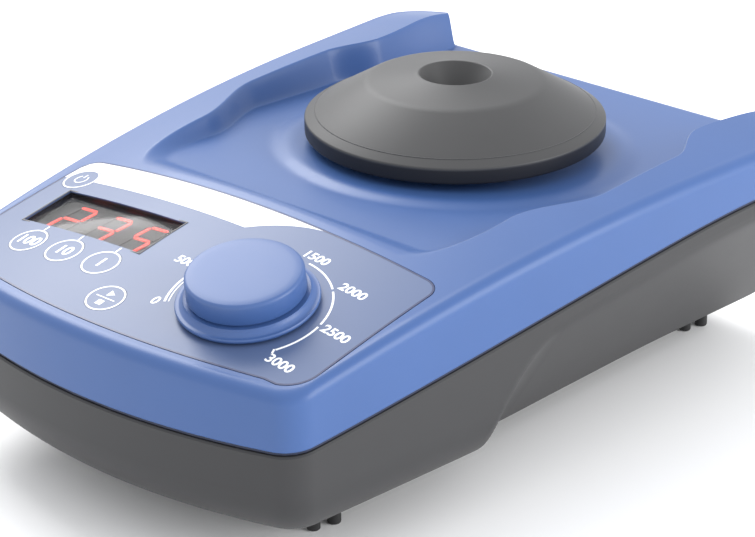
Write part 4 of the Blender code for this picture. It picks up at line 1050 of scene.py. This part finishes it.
# Keys.
# Five round push keys flush with the film, each printed with a white ring and a plain
# figure or sign: power, the three speed steps, and start and stop.
KEY_DEPTH = 0.0030
RING_INNER = 0.00448
RING_OUTER = 0.00494
KEY_FIGURE = 0.0036
KEY_EDGE = 0.0001
POWER_ARC = (0.00165, 0.00200, 125, 415, 40)
POWER_STROKE = ((0, 0.0007), (0, 0.0024), 0.00036)
MIDDLE_STROKE = ((-0.0030, 0), (0.0030, 0), 0.00032)
SIGN_SHIFT = 0.0019
TRIANGLE_RADIUS = 0.0013
SQUARE_HALF = 0.0009
KEY_WORDS = {"hundreds": "100", "tens": "10", "ones": "1"}
KEY_BODIES = {
    "power": "power_button",
    "hundreds": "hundreds_button",
    "tens": "tens_button",
    "ones": "ones_button",
    "start_stop": "start_stop_button",
}


def key_marks(name):
    """Ring and sign of one key, flat round its middle."""
    marks = bmesh.new()
    added(marks, arc_line(RING_INNER, RING_OUTER, 0, 360, 72))
    if name == "power":
        added(marks, arc_line(*POWER_ARC))
        added(marks, straight_line(*POWER_STROKE))
    elif name == "start_stop":
        added(marks, straight_line(*MIDDLE_STROKE))
        triangle = bmesh.new()
        bmesh.ops.create_circle(triangle, cap_ends=True, segments=3, radius=TRIANGLE_RADIUS)
        upright = Matrix.Rotation(-math.pi / 2, 4, "Z")
        added(marks, triangle, Matrix.Translation((0, SIGN_SHIFT, 0)) @ upright)
        square = bmesh.new()
        bmesh.ops.create_grid(square, x_segments=1, y_segments=1, size=SQUARE_HALF)
        added(marks, square, Matrix.Translation((0, -SIGN_SHIFT, 0)))
    else:
        added(marks, figures(KEY_WORDS[name], KEY_FIGURE))
    raised(marks, -INK_THICKNESS, INK_THICKNESS)
    return marks


for name, (x, y) in KEY_PLACES.items():
    place = surface_frame(x, y)
    button = lathe([
        (0, -KEY_DEPTH),
        (KEY_RADIUS, -KEY_DEPTH),
        (KEY_RADIUS, -KEY_EDGE),
        (KEY_RADIUS - KEY_EDGE, 0),
        (0, 0),
    ], 72)
    bmesh.ops.transform(button, matrix=place, verts=button.verts[:])
    shown(name + "_cap", button, film_finish, KEY_BODIES[name], [name + "_key"])
    marks = key_marks(name)
    bmesh.ops.transform(marks, matrix=place, verts=marks.verts[:])
    inked(name + "_marks", marks, KEY_BODIES[name])

# Turning knob.
# Moulded blue cap with a slightly domed top, a barrel, a dark groove and a flared,
# rounded skirt. It is pushed on the shaft of the encoder below.
KNOB_RADIUS = 0.0140
KNOB_HEIGHT = 0.0087
SKIRT_RADIUS = 0.0169
GROOVE_DEPTH = 0.0008
GROOVE_HEIGHT = 0.0030
KNOB_FOOT = 0.0003
KNOB_EDGE = 0.0009
KNOB_DOME = 0.0003
SKIRT_EDGE = 0.0006
SKIRT_FLARE = 0.0022
FINE_STEP = 0.0001


def arc_points(centre, radius, start, end, steps):
    """Points of a rounded corner in a profile, its angles in degrees."""
    points = []
    for step in range(steps + 1):
        angle = math.radians(start + (end - start) * step / steps)
        points.append((centre[0] + radius * math.cos(angle), centre[1] + radius * math.sin(angle)))
    return points


def knob_profile():
    """Half section of the knob from its skirt to its domed top."""
    profile = [(0, KNOB_FOOT), (SKIRT_RADIUS - 4 * FINE_STEP, KNOB_FOOT)]
    profile += arc_points((SKIRT_RADIUS - SKIRT_EDGE, 10 * FINE_STEP), SKIRT_EDGE, -60, 50, 6)
    profile += arc_points((SKIRT_RADIUS, GROOVE_HEIGHT + 4 * FINE_STEP), SKIRT_FLARE, 244, 192, 8)
    profile += [(KNOB_RADIUS - FINE_STEP, GROOVE_HEIGHT - 2 * FINE_STEP)]
    profile += [(KNOB_RADIUS - GROOVE_DEPTH, GROOVE_HEIGHT - FINE_STEP)]
    profile += [(KNOB_RADIUS - GROOVE_DEPTH, GROOVE_HEIGHT + 2 * FINE_STEP)]
    profile += [(KNOB_RADIUS - 2 * FINE_STEP, GROOVE_HEIGHT + 4 * FINE_STEP)]
    profile += [(KNOB_RADIUS, GROOVE_HEIGHT + 7 * FINE_STEP)]
    top_edge = (KNOB_RADIUS - KNOB_EDGE - FINE_STEP, KNOB_HEIGHT - KNOB_EDGE)
    profile += arc_points(top_edge, KNOB_EDGE, 0, 80, 7)
    for step in range(1, 9):
        radius = (KNOB_RADIUS - KNOB_EDGE) * (1 - step / 8)
        dome = KNOB_DOME * (1 - (radius / KNOB_RADIUS) ** 2)
        profile.append((radius, KNOB_HEIGHT + dome))
    return profile


knob_finish = coated("knob_plastic", (0.044, 0.098, 0.265), 0.42, 4200.0, 0.15)
knob = lathe(knob_profile(), 128)
bmesh.ops.transform(knob, matrix=surface_frame(KNOB_X, KNOB_Y), verts=knob.verts[:])
shown("turning_knob", knob, knob_finish, "speed_dial", ["speed_knob"], 45)

# Push-on attachment.
# A rubber cone with a small cup in its middle and a rim painted darker as shade, pushed
# on the table that the eccentric drive moves round a small circle.
DISC_RADIUS = 0.0396
DISC_LOW = 0.0638
RIM_TOP = 0.0684
CONE_RADIUS = 0.0234
CONE_TOP = 0.0777
CUP_RADIUS = 0.0093
CUP_TOP = 0.0795
CUP_FLOOR_RADIUS = 0.0052
CUP_DEPTH = 0.0085
CUP_EDGE = 0.0005
CAP_HOLLOW = 0.006
CAP_MOUTH_RADIUS = 0.0372
CAP_MOUTH_TAPER = 0.0002
LOW_EDGE = 0.0007
RIM_EDGE = 0.0006


def cap_profile():
    """Half section of the rubber cap, its cup included."""
    hollow = DISC_LOW + CAP_HOLLOW
    profile = [(0, hollow), (CAP_MOUTH_RADIUS - CAP_MOUTH_TAPER, hollow)]
    profile += [(CAP_MOUTH_RADIUS, DISC_LOW)]
    profile += arc_points((DISC_RADIUS - LOW_EDGE, DISC_LOW + LOW_EDGE), LOW_EDGE, -90, 0, 5)
    profile += arc_points((DISC_RADIUS - RIM_EDGE, RIM_TOP - RIM_EDGE), RIM_EDGE, 0, 60, 5)
    profile += [(CONE_RADIUS + 0.0009, CONE_TOP - 0.0006), (CONE_RADIUS, CONE_TOP - 0.0002)]
    profile += [(CONE_RADIUS - 0.0012, CONE_TOP + 0.0001), (CUP_RADIUS + 0.0011, CUP_TOP - 0.0002)]
    profile += arc_points((CUP_RADIUS + CUP_EDGE, CUP_TOP - CUP_EDGE), CUP_EDGE, 80, 150, 5)
    profile += [(CUP_FLOOR_RADIUS - 0.0006, CUP_TOP - CUP_DEPTH + 0.0012)]
    profile += [(CUP_FLOOR_RADIUS - 0.0014, CUP_TOP - CUP_DEPTH), (0, CUP_TOP - CUP_DEPTH)]
    return profile


def cap_finish():
    """Matt grey rubber with a fine grain, its rim painted darker as shade."""
    finish = Finish("grey_rubber", {"Specular IOR Level": 0.35})
    cloud = finish.noise(60.0)
    speck = finish.noise(3000.0, 2.0)
    top = finish.mixed((0.044, 0.044, 0.045), (0.054, 0.054, 0.055), cloud)
    # Painted shade: below the rim's top edge the colour turns near black, standing in for the shade on
    # the sideways rim.
    share = finish.place("Z").step(RIM_TOP - 0.0011, RIM_TOP - 0.0005)
    finish.feed("Base Color", finish.mixed((0.012, 0.012, 0.014), top, share))
    finish.feed("Roughness", 0.06 * cloud + 0.05 * speck + 0.42)
    finish.relief(speck, 0.2, 0.00003)
    return finish


cap = lathe(cap_profile(), 144)
bmesh.ops.translate(cap, verts=cap.verts[:], vec=(0, TABLE_Y, 0))
shown("rubber_cone", cap, cap_finish(), "attachment", ["attachment_cap"])

# Feet.
# Four feet of black moulded rubber, glued under the lower shell. Each is a disc with a
# ring of round studs.
FOOT_PLACES = {
    "foot_front_left": (-0.0362, -0.0605),
    "foot_front_right": (0.0362, -0.0605),
    "foot_rear_left": (-0.0362, 0.0885),
    "foot_rear_right": (0.0362, 0.0885),
}
FOOT_RADIUS = 0.0078
FOOT_TOP = 0.0097
FOOT_DISC = 0.0020
STUD_RADIUS = 0.0017
STUD_COUNT = 6
STUD_TURN_SHARE = 0.25
FOOT_EDGE = 0.0003
STUD_EDGE = 0.0005

foot_rubber = coated("black_rubber", (0.012, 0.012, 0.013), 0.6, 1800.0, 0.3)
for name, (x, y) in FOOT_PLACES.items():
    low = FOOT_TOP - FOOT_DISC
    foot = lathe([
        (0, low),
        (FOOT_RADIUS - FOOT_EDGE, low),
        (FOOT_RADIUS, low + FOOT_EDGE),
        (FOOT_RADIUS, FOOT_TOP),
        (0, FOOT_TOP),
    ], 64)
    ring = FOOT_RADIUS - STUD_RADIUS - FOOT_EDGE
    for index in range(STUD_COUNT):
        angle = 2 * math.pi * (index + STUD_TURN_SHARE) / STUD_COUNT
        profile = [(0, 0), *arc_points((STUD_RADIUS - STUD_EDGE, STUD_EDGE), STUD_EDGE, -90, 0, 4)]
        stud = lathe([*profile, (STUD_RADIUS, low + STUD_EDGE), (0, low + STUD_EDGE)], 24)
        added(foot, stud, Matrix.Translation((ring * math.cos(angle), ring * math.sin(angle), 0)))
    bmesh.ops.translate(foot, verts=foot.verts[:], vec=(x, y, 0))
    shown(name + "_rubber", foot, foot_rubber, "housing", [name])

# Screw seats and power inlet.
# Countersunk seats in the base hold the housing screws. The inlet for the
# direct-current plug sits in a square opening of the rear wall.
SCREW_PLACES = ((-0.044, -0.0375), (0.044, -0.0375), (-0.046, 0.076), (0.046, 0.076))
INLET_X = 0.0250
INLET_Z = 0.0300
INLET_SIZE = 0.0120
INLET_EDGE = 0.0006
INLET_SETBACK = 0.0003
SEAT_RADIUS = 0.0033
SEAT_LOW = 0.004
SEAT_TOP = 0.0145
MOUTH_ROOM = 0.0004
MOUTH_DEPTH = 0.016
PIN_RADIUS = 0.0010
SOCKET_RADIUS = 0.0032
SOCKET_RIM_RADIUS = 0.0040
SOCKET_DEPTH = 0.0100
SOCKET_RIM_DEPTH = 0.0008
SOCKET_CUT = 0.002

seats = bmesh.new()
for x, y in SCREW_PLACES:
    added(seats, plug(SEAT_RADIUS, SEAT_LOW, SEAT_TOP, 32), Matrix.Translation((x, y, 0)))
mouth = bmesh.new()
size = (INLET_SIZE + MOUTH_ROOM, MOUTH_DEPTH, INLET_SIZE + MOUTH_ROOM)
bmesh.ops.create_cube(mouth, size=1, matrix=Matrix.Diagonal((*size, 1)))
added(seats, mouth, Matrix.Translation((INLET_X, REAR_Y, INLET_Z)))
carved(shell_below, seats, 28)

inlet = bmesh.new()
size = (INLET_SIZE, INLET_SIZE, INLET_SIZE)
bmesh.ops.create_cube(inlet, size=1, matrix=Matrix.Diagonal((*size, 1)))
bmesh.ops.bevel(
    inlet, geom=inlet.edges[:], offset=INLET_EDGE, segments=3, profile=0.5, affect="EDGES", material=-1
)
place = (INLET_X, REAR_Y - INLET_SIZE / 2 - INLET_SETBACK, INLET_Z)
bmesh.ops.translate(inlet, verts=inlet.verts[:], vec=place)
socket = shown(
    "power_socket", inlet, inner_finishes["dark_plastic"], "housing", ["dc_inlet"]
)
facing = Matrix.Translation((INLET_X, REAR_Y, INLET_Z)) @ Matrix.Rotation(-math.pi / 2, 4, "X")
round_mouth = lathe([
    (PIN_RADIUS, -SOCKET_DEPTH),
    (SOCKET_RADIUS, -SOCKET_DEPTH),
    (SOCKET_RADIUS, -SOCKET_RIM_DEPTH),
    (SOCKET_RIM_RADIUS, SOCKET_CUT),
    (PIN_RADIUS, SOCKET_CUT),
    (PIN_RADIUS, -SOCKET_DEPTH),
], 48)
bmesh.ops.transform(round_mouth, matrix=facing, verts=round_mouth.verts[:])
carved(socket, round_mouth)

for subpart in frame["record"]["subparts"]:
    node = frame["nodes"][subpart["node"]]
    if subpart["material_slot"] in inner_finishes and not node.hide_render:
        node.data.materials.clear()
        node.data.materials.append(inner_finishes[subpart["material_slot"]].material)

# Studio.
# Plain pale floor in bright surroundings, one soft light from the rear left, a weaker one
# from the right, and the camera where the photograph was taken from.
floor_mesh = bmesh.new()
bmesh.ops.create_grid(floor_mesh, x_segments=1, y_segments=1, size=4.0)
floor_data = bpy.data.meshes.new("studio_floor")
floor_mesh.to_mesh(floor_data)
floor_mesh.free()
floor_finish = Finish("studio_floor", {"Roughness": 0.7})
floor_tint = floor_finish.mixed((0.93, 0.93, 0.93), (0.95, 0.95, 0.95), floor_finish.noise(3.0))
floor_finish.feed("Base Color", floor_tint)
floor_data.materials.append(floor_finish.material)
studio_floor = bpy.data.objects.new("studio_floor", floor_data)
bpy.context.scene.collection.objects.link(studio_floor)

world = bpy.data.worlds.new("studio")
world.use_nodes = True
world.node_tree.nodes["Background"].inputs[0].default_value = (0.97, 0.98, 1.0, 1.0)
world.node_tree.nodes["Background"].inputs[1].default_value = 1.25
bpy.context.scene.world = world
bpy.context.scene.view_settings.view_transform = "Standard"


def soft_light(name, place, target, size, power):
    """Square soft light that faces the object."""
    light = bpy.data.lights.new(name, "AREA")
    light.size = size
    light.energy = power
    lamp = bpy.data.objects.new(name, light)
    lamp.location = place
    lamp.rotation_euler = (Vector(target) - Vector(place)).to_track_quat("-Z", "Y").to_euler()
    bpy.context.scene.collection.objects.link(lamp)


LIGHT_AIM = (0.0, 0.0, 0.05)
soft_light("rear_left_light", (-0.95, 0.35, 0.95), LIGHT_AIM, 0.8, 15.0)
soft_light("right_light", (1.0, 0.35, 0.30), LIGHT_AIM, 0.7, 9.0)

AZIMUTH = math.radians(41.53)
ELEVATION = math.radians(24.65)
AIM = Vector((0.01885, -0.00154, 0.03047))
DISTANCE = 0.65085
back = Vector((
    math.sin(AZIMUTH) * math.cos(ELEVATION), -math.cos(AZIMUTH) * math.cos(ELEVATION), math.sin(ELEVATION)
))
lens = bpy.data.cameras.new("camera")
lens.lens = 121.65
lens.sensor_width = 36.0
lens.shift_x = -0.0585
lens.shift_y = 0.0482
lens.clip_start = 0.01
camera = bpy.data.objects.new("camera", lens)
camera.location = AIM + back * DISTANCE
camera.rotation_euler = (-back).to_track_quat("-Z", "Y").to_euler()
bpy.context.scene.collection.objects.link(camera)
bpy.context.scene.camera = camera
